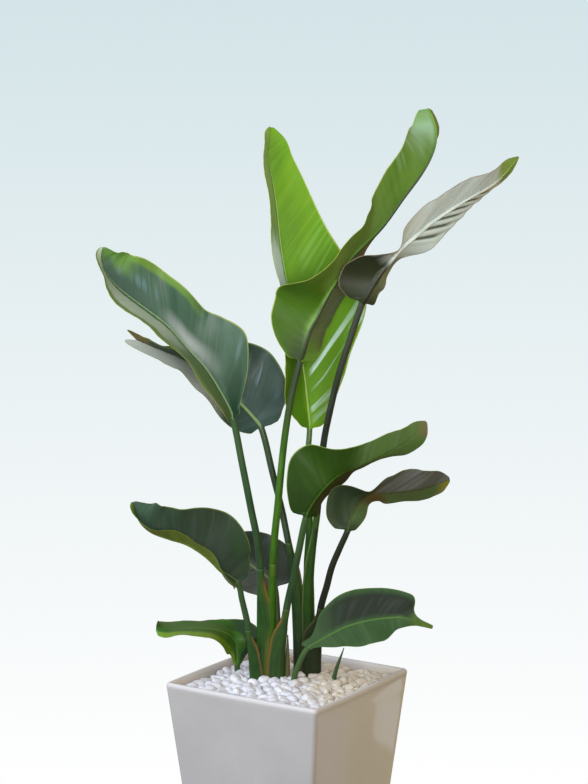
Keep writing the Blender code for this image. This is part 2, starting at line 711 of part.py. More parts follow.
def combine(ob, objects, operation, solver="EXACT"):
    """Joins helper objects to an object or cuts them from it, then removes them."""
    group = group_of(objects, ob.name + "_" + operation.lower())
    modifier = ob.modifiers.new(operation.lower(), "BOOLEAN")
    modifier.operation = operation
    modifier.operand_type = "COLLECTION"
    modifier.collection = group
    modifier.solver = solver
    graph = bpy.context.evaluated_depsgraph_get()
    mesh = bpy.data.meshes.new_from_object(ob.evaluated_get(graph))
    ob.modifiers.clear()
    ob.data = mesh
    for helper in list(group.objects):
        bpy.data.objects.remove(helper, do_unlink=True)
    bpy.data.collections.remove(group)


def square_ring(half, corner, bow, z):
    """Points round a square with rounded corners and sides that bow out a little."""
    points = []
    for quarter in range(4):
        turn = Matrix.Rotation(math.radians(90 * quarter), 3, "Z")
        for x in (-0.5, 0.0, 0.5):
            out = half + bow * (1 - x * x)
            points.append(turn @ Vector((out, x * (half - corner), z)))
        for step in range(CORNER_STEPS + 1):
            a = math.radians(90 * step / CORNER_STEPS)
            x = half - corner + corner * math.cos(a)
            y = half - corner + corner * math.sin(a)
            points.append(turn @ Vector((x, y, z)))
    return points


def ring_body(rings):
    """A closed body through rings of points, capped flat at both ends."""
    bm = bmesh.new()
    rows = [[bm.verts.new(p) for p in ring] for ring in rings]
    for a, b in zip(rows, rows[1:]):
        for i in range(len(a)):
            j = (i + 1) % len(a)
            bm.faces.new((a[i], a[j], b[j], b[i]))
    bm.faces.new(rows[0][::-1])
    bm.faces.new(rows[-1])
    bmesh.ops.recalc_face_normals(bm, faces=bm.faces)
    return bm


def outer_half(z):
    """Half the pot's side at a height."""
    return (POT_BASE_SIDE + (POT_TOP_SIDE - POT_BASE_SIDE) * z / POT_HEIGHT) / 2


def pot_profile():
    """Half widths, heights and corner radii up the outside, over the lip and down the inside."""
    outside = [(outer_half(0) - FOOT_ROUND, 0.0), (outer_half(0) - FOOT_ROUND / 4, FOOT_ROUND / 4)]
    outside += [(outer_half(z), z) for z in (FOOT_ROUND, 0.12, 0.24)]
    middle = outer_half(POT_HEIGHT) - LIP_LEAN - POT_WALL / 2
    lip = []
    for i in range(LIP_STEPS + 1):
        a = math.pi * i / LIP_STEPS
        out = middle + POT_WALL / 2 * math.cos(a)
        lip.append((out, POT_HEIGHT - LIP_HEIGHT * (1 - math.sin(a))))
    outside += lip[:LIP_STEPS // 2]
    inside = lip[LIP_STEPS // 2:]
    inside += [(outer_half(z) - POT_WALL, z) for z in (0.24, 0.12, POT_FLOOR)]
    rows = [(half, z, POT_CORNER) for half, z in outside]
    return rows + [(half, z, POT_INNER_CORNER) for half, z in inside]


def add_pot():
    rings = [square_ring(half, corner, POT_SIDE_BOW, z) for half, z, corner in pot_profile()]
    mat = material("pot", (0.80, 0.80, 0.79), 0.10)
    pot = add_object("pot", ring_body(rings), mat)
    holes = []
    for x in (-DRAIN_HOLE_PLACE, DRAIN_HOLE_PLACE):
        for y in (-DRAIN_HOLE_PLACE, DRAIN_HOLE_PLACE):
            holes.append(add_cylinder("drain", (x, y, POT_FLOOR / 2), DRAIN_HOLE_RADIUS))
    combine(pot, holes, "DIFFERENCE")
    return pot


def add_cylinder(name, place, radius):
    bm = bmesh.new()
    bmesh.ops.create_cone(
        bm, cap_ends=True, segments=20, radius1=radius, radius2=radius, depth=POT_FLOOR * 2
    )
    ob = add_object(name, bm, None)
    ob.location = place
    return ob


def stem_cutters():
    """Copies of everything that stands in the soil, larger all round by the gap."""
    extra = GAP / MM
    cutters = []
    for name, leaf in LEAVES.items():
        rings = sheath_rings(name, extra) if "crown" in leaf else foot_rings(leaf, extra)
        cutters.append(add_loft("cut_" + name, rings, None))
    cutters.append(add_loft("cut_old_sheath", spike_rings(OLD_SHEATH, extra), None))
    cutters.append(add_loft("cut_shoot", spike_rings(SHOOT, extra), None))
    return cutters


def fill_half(z):
    """Half the side of what fills the pot at a height."""
    return outer_half(z) - POT_WALL - GAP


def add_soil():
    rings = []
    for z in (POT_FLOOR + GAP, 0.12, 0.24, SOIL_TOP):
        rings.append(square_ring(fill_half(z), POT_INNER_CORNER, POT_SIDE_BOW, z))
    soil = add_object("potting_soil", ring_body(rings), material("soil", (0.045, 0.03, 0.02), 0.95))
    combine(soil, stem_cutters(), "DIFFERENCE", "MANIFOLD")
    return soil


def pebble_places(rng):
    """Stone centres on a jittered grid that stays clear of the pot's wall."""
    reach = fill_half(STONE_BED_TOP) - STONE_RADIUS - 0.0015
    count = int(2 * reach / STONE_SPACING) + 1
    places = []
    for i in range(count):
        for j in range(count):
            x = -reach + 2 * reach * i / (count - 1) + rng.uniform(-STONE_SHIFT, STONE_SHIFT)
            y = -reach + 2 * reach * j / (count - 1) + rng.uniform(-STONE_SHIFT, STONE_SHIFT)
            x = max(-reach, min(reach, x))
            y = max(-reach, min(reach, y))
            mound = STONE_MOUND * max(0.0, 1 - (x * x + y * y) / reach ** 2)
            z = STONE_BED_TOP + mound + rng.uniform(-STONE_DIP, STONE_RISE)
            places.append((x, y, z))
    return places


def add_stone(place, rng):
    bm = bmesh.new()
    bmesh.ops.create_icosphere(bm, subdivisions=1, radius=1.0)
    size = STONE_RADIUS * rng.uniform(0.82, 1.0)
    shape = Matrix.Diagonal((size, size * rng.uniform(0.72, 0.95), size * rng.uniform(0.6, 0.8)))
    turn = Matrix.Rotation(rng.uniform(0, math.tau), 3, "Z")
    tip = Matrix.Rotation(rng.uniform(-STONE_SLOPE, STONE_SLOPE), 3, "X")
    for v in bm.verts:
        v.co = turn @ (tip @ (shape @ v.co)) + Vector(place)
    return add_object("stone", bm, None)


def add_pebbles():
    rng = random.Random(7)
    rings = []
    for z in (SOIL_TOP + GAP, STONE_BED_TOP):
        rings.append(square_ring(fill_half(z), POT_INNER_CORNER, POT_SIDE_BOW, z))
    mat = material("white_pebbles", (0.82, 0.82, 0.80), 0.55)
    bed = add_object("pebble_bed", ring_body(rings), mat, smooth=False)
    stones = [add_stone(place, rng) for place in pebble_places(rng)]
    combine(bed, stones, "UNION", "MANIFOLD")
    combine(bed, stem_cutters(), "DIFFERENCE", "MANIFOLD")
    return bed


def spike_rings(spike, extra):
    """Rings of a pointed shoot, with its radius given at even places along its line."""
    line, marks = smooth_line(spike["line"], 8)
    radii = spike["radii"]
    rings = []
    for i, radius in enumerate(radii):
        place, direction = at_length(line, 0, len(line) - 1, i / (len(radii) - 1))
        if i == 0:
            place = place - direction * extra
        rings.append(stem_ring(place, direction, radius + extra))
    return rings


def add_crown(name, colour):
    """The sheathed foot of one fan, with a stub for each of its leaves."""
    mat = material(name, colour, 0.45)
    bodies = []
    for key, leaf in LEAVES.items():
        if leaf.get("crown") == name:
            bodies.append(add_loft(name + "_sheath", sheath_rings(key, 0.0), mat))
    if OLD_SHEATH["crown"] == name:
        bodies.append(add_loft(name + "_spike", spike_rings(OLD_SHEATH, 0.0), mat))
    crown = bodies.pop(0)
    crown.name = name
    combine(crown, bodies, "UNION", "MANIFOLD")
    return crown


def build():
    for ob in list(bpy.data.objects):
        bpy.data.objects.remove(ob, do_unlink=True)
    add_pot()
    add_soil()
    add_pebbles()
    add_crown("crown_left", (0.070, 0.150, 0.045))
    add_crown("crown_right", (0.055, 0.120, 0.040))
    shoot_green = material("young_shoot", (0.05, 0.12, 0.04), 0.4)
    add_loft("young_shoot", spike_rings(SHOOT, 0.0), shoot_green)
    for name, leaf in LEAVES.items():
        add_leaf(name, leaf)


build()
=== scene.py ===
import math
import random

import bmesh
import bpy
from mathutils import Matrix, Vector, noise


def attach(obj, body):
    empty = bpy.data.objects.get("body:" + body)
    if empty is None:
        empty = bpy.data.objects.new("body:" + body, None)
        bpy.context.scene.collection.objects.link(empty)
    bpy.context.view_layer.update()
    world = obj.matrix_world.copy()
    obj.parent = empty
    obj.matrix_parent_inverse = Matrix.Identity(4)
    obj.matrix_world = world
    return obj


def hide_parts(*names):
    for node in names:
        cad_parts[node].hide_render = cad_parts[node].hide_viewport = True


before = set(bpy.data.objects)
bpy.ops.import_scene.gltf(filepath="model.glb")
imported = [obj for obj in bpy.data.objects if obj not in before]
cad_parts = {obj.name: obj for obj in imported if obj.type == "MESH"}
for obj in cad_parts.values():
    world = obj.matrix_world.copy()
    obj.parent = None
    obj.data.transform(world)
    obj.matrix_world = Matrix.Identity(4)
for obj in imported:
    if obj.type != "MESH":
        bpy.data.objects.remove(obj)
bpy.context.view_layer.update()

# The pot and its stones in metres, the same sizes as the solids.
POT_TOP_SIDE = 0.330
POT_BASE_SIDE = 0.260
POT_HEIGHT = 0.340
POT_WALL = 0.011
POT_FLOOR = 0.014
POT_CORNER = 0.008
POT_INNER_CORNER = 0.004
POT_SIDE_BOW = 0.0025
POT_FOOT_ROUND = 0.005
POT_SIDE_END = 0.328
RIM_ROUND = 0.0075
FLOOR_RADIUS = 9.0
STONE_BED_TOP = 0.325
STONE_SPACING = 0.0226
STONE_RADIUS = 0.0120
STONE_JITTER = 0.005
STONE_CLEARANCE = 0.0018
STONE_SINK = 0.006
UNDER_SIZES = (1.15, 1.3)
GAP_STONE = (0.0775, -0.0201, STONE_BED_TOP - 0.009)

# The plant is in millimetres and as the photograph sees it: x to the right, y away from the
# viewer, z up from the pot's underside.
MM = 0.001
VIEW_TURN = math.radians(32.8)
PLANT_TURN = Matrix.Rotation(VIEW_TURN, 3, "Z")
TOWARDS_VIEWER = Vector((0, -1, 0))
LINE_STEPS = 8

# Places across one half of the blade: first on the midrib, then from it to the edge.
RIB_COLUMNS = (0.0, 0.4, 0.8, 1.0)
BLADE_COLUMNS = (0.04, 0.12, 0.22, 0.33, 0.44, 0.55, 0.66, 0.76, 0.85, 0.92, 0.97, 1.0)
HALF_COLUMNS = len(RIB_COLUMNS) + len(BLADE_COLUMNS) - 1

# Steps along the lines, thicknesses and ends of the leaves, in mm, and the stems' half turn in
# degrees.
RING_STEP = 2.6
PETIOLE_STEP = 7.0
SHEATH_STEP = 4
NECK_BLEND = 9.0
BLADE_MIDDLE = 0.55
BLADE_EDGE = 0.28
STEM_SIDE = 86
STALK_CAP = 2.5
END_ROUNDING = 1.6
LEAST_BEND = 1e-3
LEAST_HALF_WIDTH = 2.2
KEEL_SHARE = 0.45
SHEATH_NOSE = 7
SHEATH_WALL = 9
SHEATH_TUCK = 0.2

CAMERA_PLACE = (1.959, -3.020, 1.338)
CAMERA_PITCH = math.radians(90 - 7.36)
CAMERA_LENS = 91.0
CAMERA_SENSOR = 36.0

# Each light: its name, place, size, power, colour and spread in degrees.
LIGHT_AIM = (0.0, 0.0, 1.22)
LIGHTS = (
    ("window_left", (-1.9, -1.0, 2.2), (2.0, 1.8), 13, (0.93, 0.97, 1.0), 75),
    ("reflector_front", (0.25, -2.9, 1.45), (1.2, 1.2), 7.0, (1.0, 0.99, 0.96), 45),
)

# All other colours are in thousandths, red, green and blue.
FLOOR_COLOUR = (900, 900, 900)
GLAZE_DARK = (495, 492, 510)
GLAZE_LIGHT = (535, 532, 548)
GLAZE_SPECK = (500, 470, 430)
# a paler, bluish rim: painted highlight
GLAZE_RIM_HIGHLIGHT = (640, 640, 670)
# the inside wall: painted warm light bounced from the stones
GLAZE_INSIDE_BOUNCE_LIGHT = (740, 680, 600)
GLAZE_DULLS = (0.322, 0.333)
BACKDROP_HEIGHTS = (-0.317, 0.066)
BACKDROP_WHITE = (1000, 1000, 1000)
BACKDROP_BLUE = (655, 775, 805)

# The room that lights the plant, with the way to each place in it.
ROOM_COOL = (660, 700, 780)
ROOM_WARM = (460, 300, 85)
ROOM_GLOW = (640, 540, 330)
ROOM_PATCH = (1150, 1150, 1100)
ROOM_CORNER = (850, 850, 1000)
ROOM_LOW = 0.45
ROOM_TOP = 0.9
COOL_WAY = Vector((-0.85, -0.1, 0.5)).normalized()
GLOW_WAY = Vector((0.80, 0.46, -0.385)).normalized()
PATCH_WAY = Vector((0.765, 0.520, -0.375)).normalized()
CORNER_WAY = Vector((0.835, 0.385, -0.400)).normalized()
PATCH_GRAIN = (16.0, 16.0, 60.0)

# What stands among the leaves: the tip of an old sheath and a young shoot.
OLD_SHEATH = {
    "crown": "crown_left",
    "line": [(-4, 24, 266), (-2, 22, 340), (-1, 20, 412)],
    "radii": (6.5, 6.2, 4.6, 1.0),
}
SHOOT = {
    "line": [(85, 16, 266), (86, 16, 330), (104, 10, 390)],
    "radii": (4.6, 4.8, 4.4, 3.0, 0.8),
}


def smooth_line(points):
    """Points on a smooth line through the given ones, LINE_STEPS to each stretch."""
    pts = [Vector(p) for p in points]
    line = []
    for i, (p1, p2) in enumerate(zip(pts, pts[1:])):
        before = pts[max(i - 1, 0)]
        after = pts[min(i + 2, len(pts) - 1)]
        reach = (p2 - p1).length
        m1 = (p2 - before).normalized() * reach
        m2 = (after - p1).normalized() * reach
        for j in range(LINE_STEPS):
            f = j / LINE_STEPS
            h00 = 2 * f ** 3 - 3 * f ** 2 + 1
            h10 = f ** 3 - 2 * f ** 2 + f
            h01 = 3 * f ** 2 - 2 * f ** 3
            h11 = f ** 3 - f ** 2
            line.append(p1 * h00 + m1 * h10 + p2 * h01 + m2 * h11)
    return line + pts[-1:]


def half(rows):
    """Half a blade's rows, with shares for percents and no curl where none is given."""
    return [
        (place / 100, width, tilt, sweep / 100, *(curl or [0]))
        for place, width, tilt, sweep, *curl in rows
    ]


def leaf(petiole, midrib, right, left, wave, stem, sheath=(), folds=(), **more):
    """A leaf's measures, in mm: the line of its sheath and its stalk, then the midrib's from the
    base of the blade to its tip. Rows of right and left: place along the blade in percent, half
    width, tilt towards the viewer in degrees, how far the veins sweep forward in percent of the
    width, and further curl at the edge in degrees where there is any. wave: height, number and
    phase. stem: the stalk's radius at its foot and its neck. ridges: which half has folds along
    its veins, from where to where, how many and how high. keel_front: the midrib stands out
    towards the viewer. The sheath folds round the fan from its keel, on the left or right, and
    its margins meet on the other side. Rows of folds: place from the root to the joint in
    percent, how far the margins reach past the stalk's middle, and half the thickness."""
    foot = LINE_STEPS * len(sheath)
    return {
        "line": smooth_line([*sheath, *petiole, *midrib]), "foot": foot,
        "base": foot + LINE_STEPS * len(petiole), "halves": (half(left), half(right)),
        "wave": wave, "stem": stem, "folds": [(row[0] / 100, *row[1:]) for row in folds], **more,
    }


LEAVES = {
    "leaf_upper_left": leaf(
        crown="crown_left",
        sheath=[(-50, 27, 266), (-50, 25, 340), (-51, 18, 450)],
        petiole=[(-52, 10, 542), (-58, 4, 600), (-68, -2, 653), (-85, -12, 745)],
        midrib=[
            (-101, -20, 828), (-115, -24, 861), (-149, -28, 918), (-182, -32, 956), (-219, -38, 999),
            (-263, -45, 1034), (-306, -52, 1069), (-327, -56, 1097), (-333, -58, 1121), (-330, -60, 1141),
        ],
        right=[
            (0, 8, 10, -40), (6, 25, 5, -10, 10), (15, 68, 0, 15, 10), (24, 96, 0, 20, -5),
            (32, 86, 0, 25, -5), (42, 70, 0, 30, -5), (55, 74, 0, 35), (72, 73, 0, 30), (85, 57, 0, 20),
            (94, 40, 0, 28), (100, 5, 0, 20),
        ],
        left=[
            (0, 8, 70, -40), (6, 44, 76, -30), (15, 60, 78, 10), (40, 74, 81, 30), (60, 74, 78, 30),
            (80, 60, 80, 30), (92, 26, 84, 20), (100, 5, 20, 0),
        ],
        wave=(4, 4, 0.5), stem=(6.9, 6.1),
        keel=-1, folds=[(0, 16, 9), (30, 21, 9), (64, 23, 8), (85, 14, 7.4), (100, 7, 7)],
    ),
    "leaf_upper_left_behind": leaf(
        crown="crown_right",
        sheath=[(20, 57, 266), (20, 56, 340), (16, 55, 454), (8, 54, 544)],
        petiole=[(0, 55, 582), (-12, 58, 642), (-30, 60, 715)],
        midrib=[
            (-50, 60, 797), (-64, 70, 815), (-88, 80, 839), (-141, 100, 883), (-204, 120, 922),
            (-250, 128, 940), (-287, 132, 955),
        ],
        right=[
            (0, 8, 10, -60), (6, 56, 5, -35), (15, 97, 0, 0), (26, 108, 0, 15), (45, 82, 40, 30),
            (70, 50, 70, 40), (90, 26, 62, 70), (100, 13, 30, 180),
        ],
        left=[
            (0, 8, 10, -50), (6, 33, 20, -20), (15, 48, 28, 0), (40, 54, 61, 20), (65, 46, 70, 30),
            (88, 24, 52, 60), (100, 4, 20, 340),
        ],
        wave=(3, 4, 1.2), stem=(6.3, 6),
        keel=-1, folds=[(0, 18, 10), (40, 17, 10), (72, 14, 9), (90, 14.5, 7.5), (100, 7, 6.4)],
    ),
    "leaf_top_centre": leaf(
        crown="crown_right",
        sheath=[(38, 58, 266), (37, 56, 380), (37, 54, 520)],
        petiole=[(40, 52, 641), (38, 58, 700), (37, 66, 750)],
        midrib=[
            (40, 72, 794), (38, 78, 820), (31, 84, 884), (26, 88, 914), (10, 92, 1000), (-2, 95, 1060),
            (-14, 100, 1130), (-22, 108, 1204), (-29, 115, 1250), (-38, 122, 1300), (-32, 130, 1354),
        ],
        right=[
            (0, 8, 0, -30), (4, 36, 0, -10), (12, 62, 0, 0, 5), (20, 92, 0, 10, 10), (33, 140, 0, 20, 10),
            (46, 118, 0, 30, 10), (58, 93, 0, 35, 10), (70, 70, 0, 35, 10), (82, 52, 0, 30, 10),
            (94, 34, 0, 30), (100, 5, 0, 10),
        ],
        left=[
            (0, 8, 40, -30), (4, 34, 42, -10), (9, 54, 42, 0), (20, 68, 66, 10), (40, 84, 81, 30),
            (50, 82, 81.5, 30), (60, 80, 80, 30), (70, 74, 80, 30), (80, 60, 80, 30), (92, 32, 80, 20),
            (100, 5, 35, 10),
        ],
        wave=(3, 3, 2), stem=(6, 5.2),
        keel=-1, folds=[(0, 14, 9), (50, 13, 9), (80, 9, 8), (93, 7, 6.8), (100, 6.2, 6.2)],
    ),
    "leaf_top_right": leaf(
        crown="crown_left",
        sheath=[(-34, 30, 266), (-33, 28, 340), (-31, 20, 460)],
        petiole=[(-29, 15, 550), (-25, 10, 604), (-20, 2, 653), (-8, -8, 776), (5, -16, 862)],
        midrib=[
            (22, -20, 932), (39, -24, 989), (52, -26, 1013), (76, -28, 1062), (99, -25, 1097),
            (116, -20, 1123), (140, -12, 1146), (170, -5, 1175), (208, 0, 1226), (245, 10, 1275),
            (265, 20, 1315), (269, 30, 1351), (256, 40, 1388),
        ],
        right=[
            (0, 8, -30, -40), (3, 34, -38, -10), (8, 58, -58, 0), (16, 74, -65, 10), (26, 84, -65, 20),
            (34, 84, -70, 30), (46, 80, -81, 30), (66, 74, -87, 30), (86, 60, -88, 20),
            (100, 14, -70, -20),
        ],
        left=[
            (0, 8, 0, -40), (5, 40, 0, -30), (11, 75, 5, 0), (18, 90, 14, 10), (25, 82, 56, 10),
            (31, 84, 70, 10), (40, 84, 70, 15), (52, 84, 56, 20), (66, 79, 45, 20), (77, 73, 35, 20),
            (86, 63, 26, 10), (94, 46, 20, 10), (100, 20, 20, 10),
        ],
        wave=(2, 3, 0), stem=(7, 6), keel_front=True,
        keel=1, folds=[(0, 18, 9), (50, 15, 9), (80, 11, 8.4), (92, 8, 7.4), (100, 7.2, 7.2)],
    ),
    "leaf_right_high": leaf(
        crown="crown_right",
        sheath=[(45, 55, 266), (41, 50, 380), (40, 45, 520)],
        petiole=[(54, 40, 641), (65, 25, 770), (77, -6, 841), (92, -28, 908), (115, -48, 985)],
        midrib=[
            (133, -60, 1041), (145, -62, 1063), (163, -64, 1093), (176, -64, 1109), (197, -62, 1136),
            (229, -54, 1162), (257, -44, 1185), (315, -32, 1222), (374, -16, 1256), (416, 0, 1300),
        ],
        right=[
            (0, 7, -20, -30), (6, 44, -61, -10), (13, 61, -65, -20), (21, 60, -75, 0), (29, 60, -70, 10),
            (40, 60, -49, 30), (49, 60, -52, 35), (58, 58, -61, 35), (67, 54, -70, 30), (84, 42, -74, 20),
            (100, 2.5, -60, 10),
        ],
        left=[
            (0, 7, 0, -40), (6, 49, 0, -40), (12, 62, 5, -20), (17, 60, 32, -10), (22, 54, 62, 0),
            (28, 52, 87, 0), (34, 64, 66, 0), (40, 61, 56, 20), (50, 60, 55, 30), (67, 57, 56, 30),
            (84, 42, 58, 20), (100, 2.5, 50, 10),
        ],
        wave=(2, 3, 0.4), stem=(6.4, 5.8), keel_front=True, ridges=(1, 0.31, 0.74, 6, 3.2),
        keel=1, folds=[(0, 16, 10), (50, 14, 9), (82, 9, 7.8), (93, 7, 7), (100, 6.4, 6.4)],
    ),
    "leaf_right_middle": leaf(
        crown="crown_left",
        sheath=[(-18, 23, 266), (-17, 19, 370)],
        petiole=[(-3, 8, 466), (10, -10, 531), (20, -30, 585)],
        midrib=[
            (33, -46, 650), (44, -50, 672), (66, -52, 702), (95, -54, 729), (129, -56, 744),
            (176, -58, 768), (221, -56, 796), (250, -50, 825),
        ],
        right=[
            (0, 7, -20, -30), (7, 40, -60, -20), (20, 60, -70, 10), (32, 60, -66, 15), (42, 60, -76, 20),
            (50, 60, -80, 30), (62, 58, -69, 30), (75, 52, -59, 30), (88, 42, -46, 20), (100, 3, -40, 10),
        ],
        left=[
            (0, 7, 10, -60), (7, 45, 0, -15), (14, 67, 0, 0), (21, 84, 0, 10), (28, 80, 0, 20),
            (36, 64, 34, 25), (42, 62, 46, 30), (58, 60, 47, 30), (72, 52, 51, 30), (88, 34, 46, 20),
            (100, 3, 40, 10),
        ],
        wave=(3, 4, 0.8), stem=(6.8, 6),
        keel=1, folds=[(0, 22, 12), (40, 22, 12), (70, 19, 10), (80, 16, 9), (90, 10, 7.4), (100, 7, 7)],
    ),
    "leaf_right_dark": leaf(
        crown="crown_right",
        sheath=[(50, 54, 266), (51, 48, 370)],
        petiole=[(61, 30, 462), (72, 19, 506), (81, 6, 545), (97, -10, 588)],
        midrib=[
            (109, -20, 618), (117, -20, 646), (132, -20, 672), (156, -22, 687), (189, -24, 690),
            (242, -24, 697), (282, -20, 710), (296, -18, 714),
        ],
        right=[
            (0, 6, -30, -50), (8, 22, -20, -10), (22, 44, -56, 20), (42, 46, -54, 20), (65, 52, -58, 20),
            (85, 40, -48, 10), (100, 5, -30, 0),
        ],
        left=[
            (0, 7, 10, -60), (5, 30, 0, -30), (10, 46, 0, -10), (20, 59, 15, 20), (32, 52, 75, 30),
            (45, 56, 46, 30), (65, 56, 38, 20), (85, 40, 42, 20), (100, 5, 30, 0),
        ],
        wave=(2, 3, 0), stem=(6.6, 5.6),
        keel=1, folds=[(0, 26, 12), (50, 27, 12), (77, 24, 10), (90, 14, 7.5), (100, 5.8, 5.8)],
    ),
    "leaf_right_low": leaf(
        petiole=[(10, 7, 266), (10, 6, 325), (20, -8, 365)],
        midrib=[
            (36, -28, 400), (53, -40, 414), (78, -50, 431), (104, -60, 447), (134, -70, 459),
            (162, -80, 467), (189, -90, 472), (206, -98, 474), (233, -100, 467), (262, -92, 455),
        ],
        right=[
            (0, 7, 40, -40), (10, 11, 50, -10), (25, 34, 50, 10), (42, 50, 50, 20), (60, 49, 50, 20),
            (74, 30, 50, 10), (86, 9, 40, 10), (100, 3, 30, 0),
        ],
        left=[
            (0, 7, 0, -220), (4, 12, -20, -140), (9, 15, -30, -40), (13, 26, -36, -10), (18, 46, -38, 0),
            (25, 60, -42, 10), (42, 68, -44, 20), (60, 58, -44, 35), (73, 43, -42, 60), (80, 20, -36, 50),
            (88, 8, -30, 10), (100, 3, -20, 0),
        ],
        wave=(2, 4, 0), stem=(6, 4.8),
    ),
    "leaf_left_middle": leaf(
        crown="crown_left",
        sheath=[(-60, 25, 266), (-65, 16, 350)],
        petiole=[(-74, -8, 430), (-78, -17, 456), (-85, -27, 490)],
        midrib=[
            (-92, -38, 525), (-103, -46, 537), (-120, -56, 550), (-141, -64, 573), (-161, -72, 591),
            (-186, -80, 607), (-214, -88, 617), (-248, -96, 632), (-268, -101, 654), (-277, -104, 688),
        ],
        right=[
            (0, 8, 0, -60), (7, 34, 0, -50), (18, 65, 0, -20), (34, 87, 0, 0), (46, 80, 5, 10),
            (56, 66, 14, 15), (66, 62, 18, 20), (76, 61, 20, 20), (88, 46, 25, 42), (100, 4, 20, 20),
        ],
        left=[
            (0, 8, 30, -40), (7, 24, 62, -20), (20, 38, 102, 0), (40, 48, 113, 10), (62, 54, 117, 20),
            (80, 40, 104, 20), (92, 18, 86, 10), (100, 4, 20, 10),
        ],
        wave=(3, 4, 0), stem=(6, 5.2),
        keel=-1, folds=[(0, 18, 9), (46, 16, 8.5), (76, 12, 7.2), (90, 8, 6.2), (100, 5.8, 5.8)],
    ),
    "leaf_back_middle": leaf(
        crown="crown_left",
        sheath=[(-30, 38, 266), (-22, 42, 350)],
        petiole=[(-20, 52, 412), (-21, 66, 452)],
        midrib=[
            (-25, 87, 488), (-32, 90, 499), (-44, 94, 510), (-59, 100, 519), (-77, 106, 532),
            (-100, 112, 551), (-124, 116, 570),
        ],
        right=[
            (0, 8, 0, -80), (3, 28, 0, -60), (7, 42, 0, -40), (14, 61, 0, -18), (30, 72, 0, 0),
            (60, 61, 0, 15), (85, 34, 0, 20), (100, 3, 0, 10),
        ],
        left=[
            (0, 8, 0, -90), (6, 28, 0, -60), (16, 37, 0, -30), (35, 49, 0, 0), (60, 54, 0, 10),
            (85, 34, 0, 20), (100, 3, 0, 10),
        ],
        wave=(3, 3, 0), stem=(5.6, 5),
        keel=1, folds=[(0, 10, 7.5), (50, 9, 7), (80, 7, 6), (100, 5.4, 5.4)],
    ),
    "leaf_left_low": leaf(
        petiole=[(-97, 75, 266), (-97, 74, 300), (-97, 72, 322)],
        midrib=[
            (-97, 70, 342), (-97, 66, 363), (-100, 60, 388), (-113, 50, 406), (-136, 38, 418),
            (-165, 26, 424), (-198, 16, 426), (-229, 6, 428), (-246, 2, 430),
        ],
        right=[
            (0, 7, 0, -30), (6, 12, 0, -20), (12, 22, 0, -10), (16, 42, 0, -5), (21, 50, 0, 5),
            (27, 44, -62, 10), (36, 42, -80, 0), (46, 40, -85, 10), (60, 40, -86, 20), (75, 38, -86, 20),
            (88, 34, -80, 20), (96, 22, -66, 10), (100, 5, -20, 0),
        ],
        left=[
            (0, 7, 20, -30), (6, 10, 25, -20), (12, 16, 35, -10), (20, 29, 48, -20), (36, 42, 58, 0),
            (46, 42, 70, 10), (60, 40, 82, 20), (75, 38, 84, 20), (88, 34, 79, 20), (96, 22, 62, 10),
            (100, 5, 20, 0),
        ],
        wave=(2, 3, 0), stem=(6, 5.4),
    ),
}


# Colours of the leaves. Streaks run from dark to light, with vein, rib and margin tones and a
# roughness. Bands: from and to along the blade, from and to across it from the left edge, -100,
# to the right one, 100, and softness, all in percent, then the colour, and a strength where the
# band is broken into streaks. Some bands are painted sheen, painted highlights or painted shade.
FACE = {"lines": 0.16, "rib_width": 0.0016, "shine": 0.35, "relief": 0.8, "coat": 0.05}


def face(dark, light, vein, rib, margin, rough, *bands, **more):
    """The looks of one side of a blade."""
    tones = {"dark": dark, "light": light, "vein": vein, "rib": rib, "margin": margin}
    return {**FACE, **tones, "rough": rough, "bands": bands, **more}


UNDERSIDE = face(
    (95, 135, 75), (150, 190, 120), (200, 230, 160), (220, 280, 140), (200, 260, 80), 0.42,
)


def look(stalk, *front, back=UNDERSIDE, rise=(0.3, 0.3), neck=None, **more):
    """The looks of a leaf: its stalk's two tones, then those of its front."""
    front = face(*front, **more)
    return {"stalk": stalk, "front": front, "back": back, "rise": rise, "neck": neck}


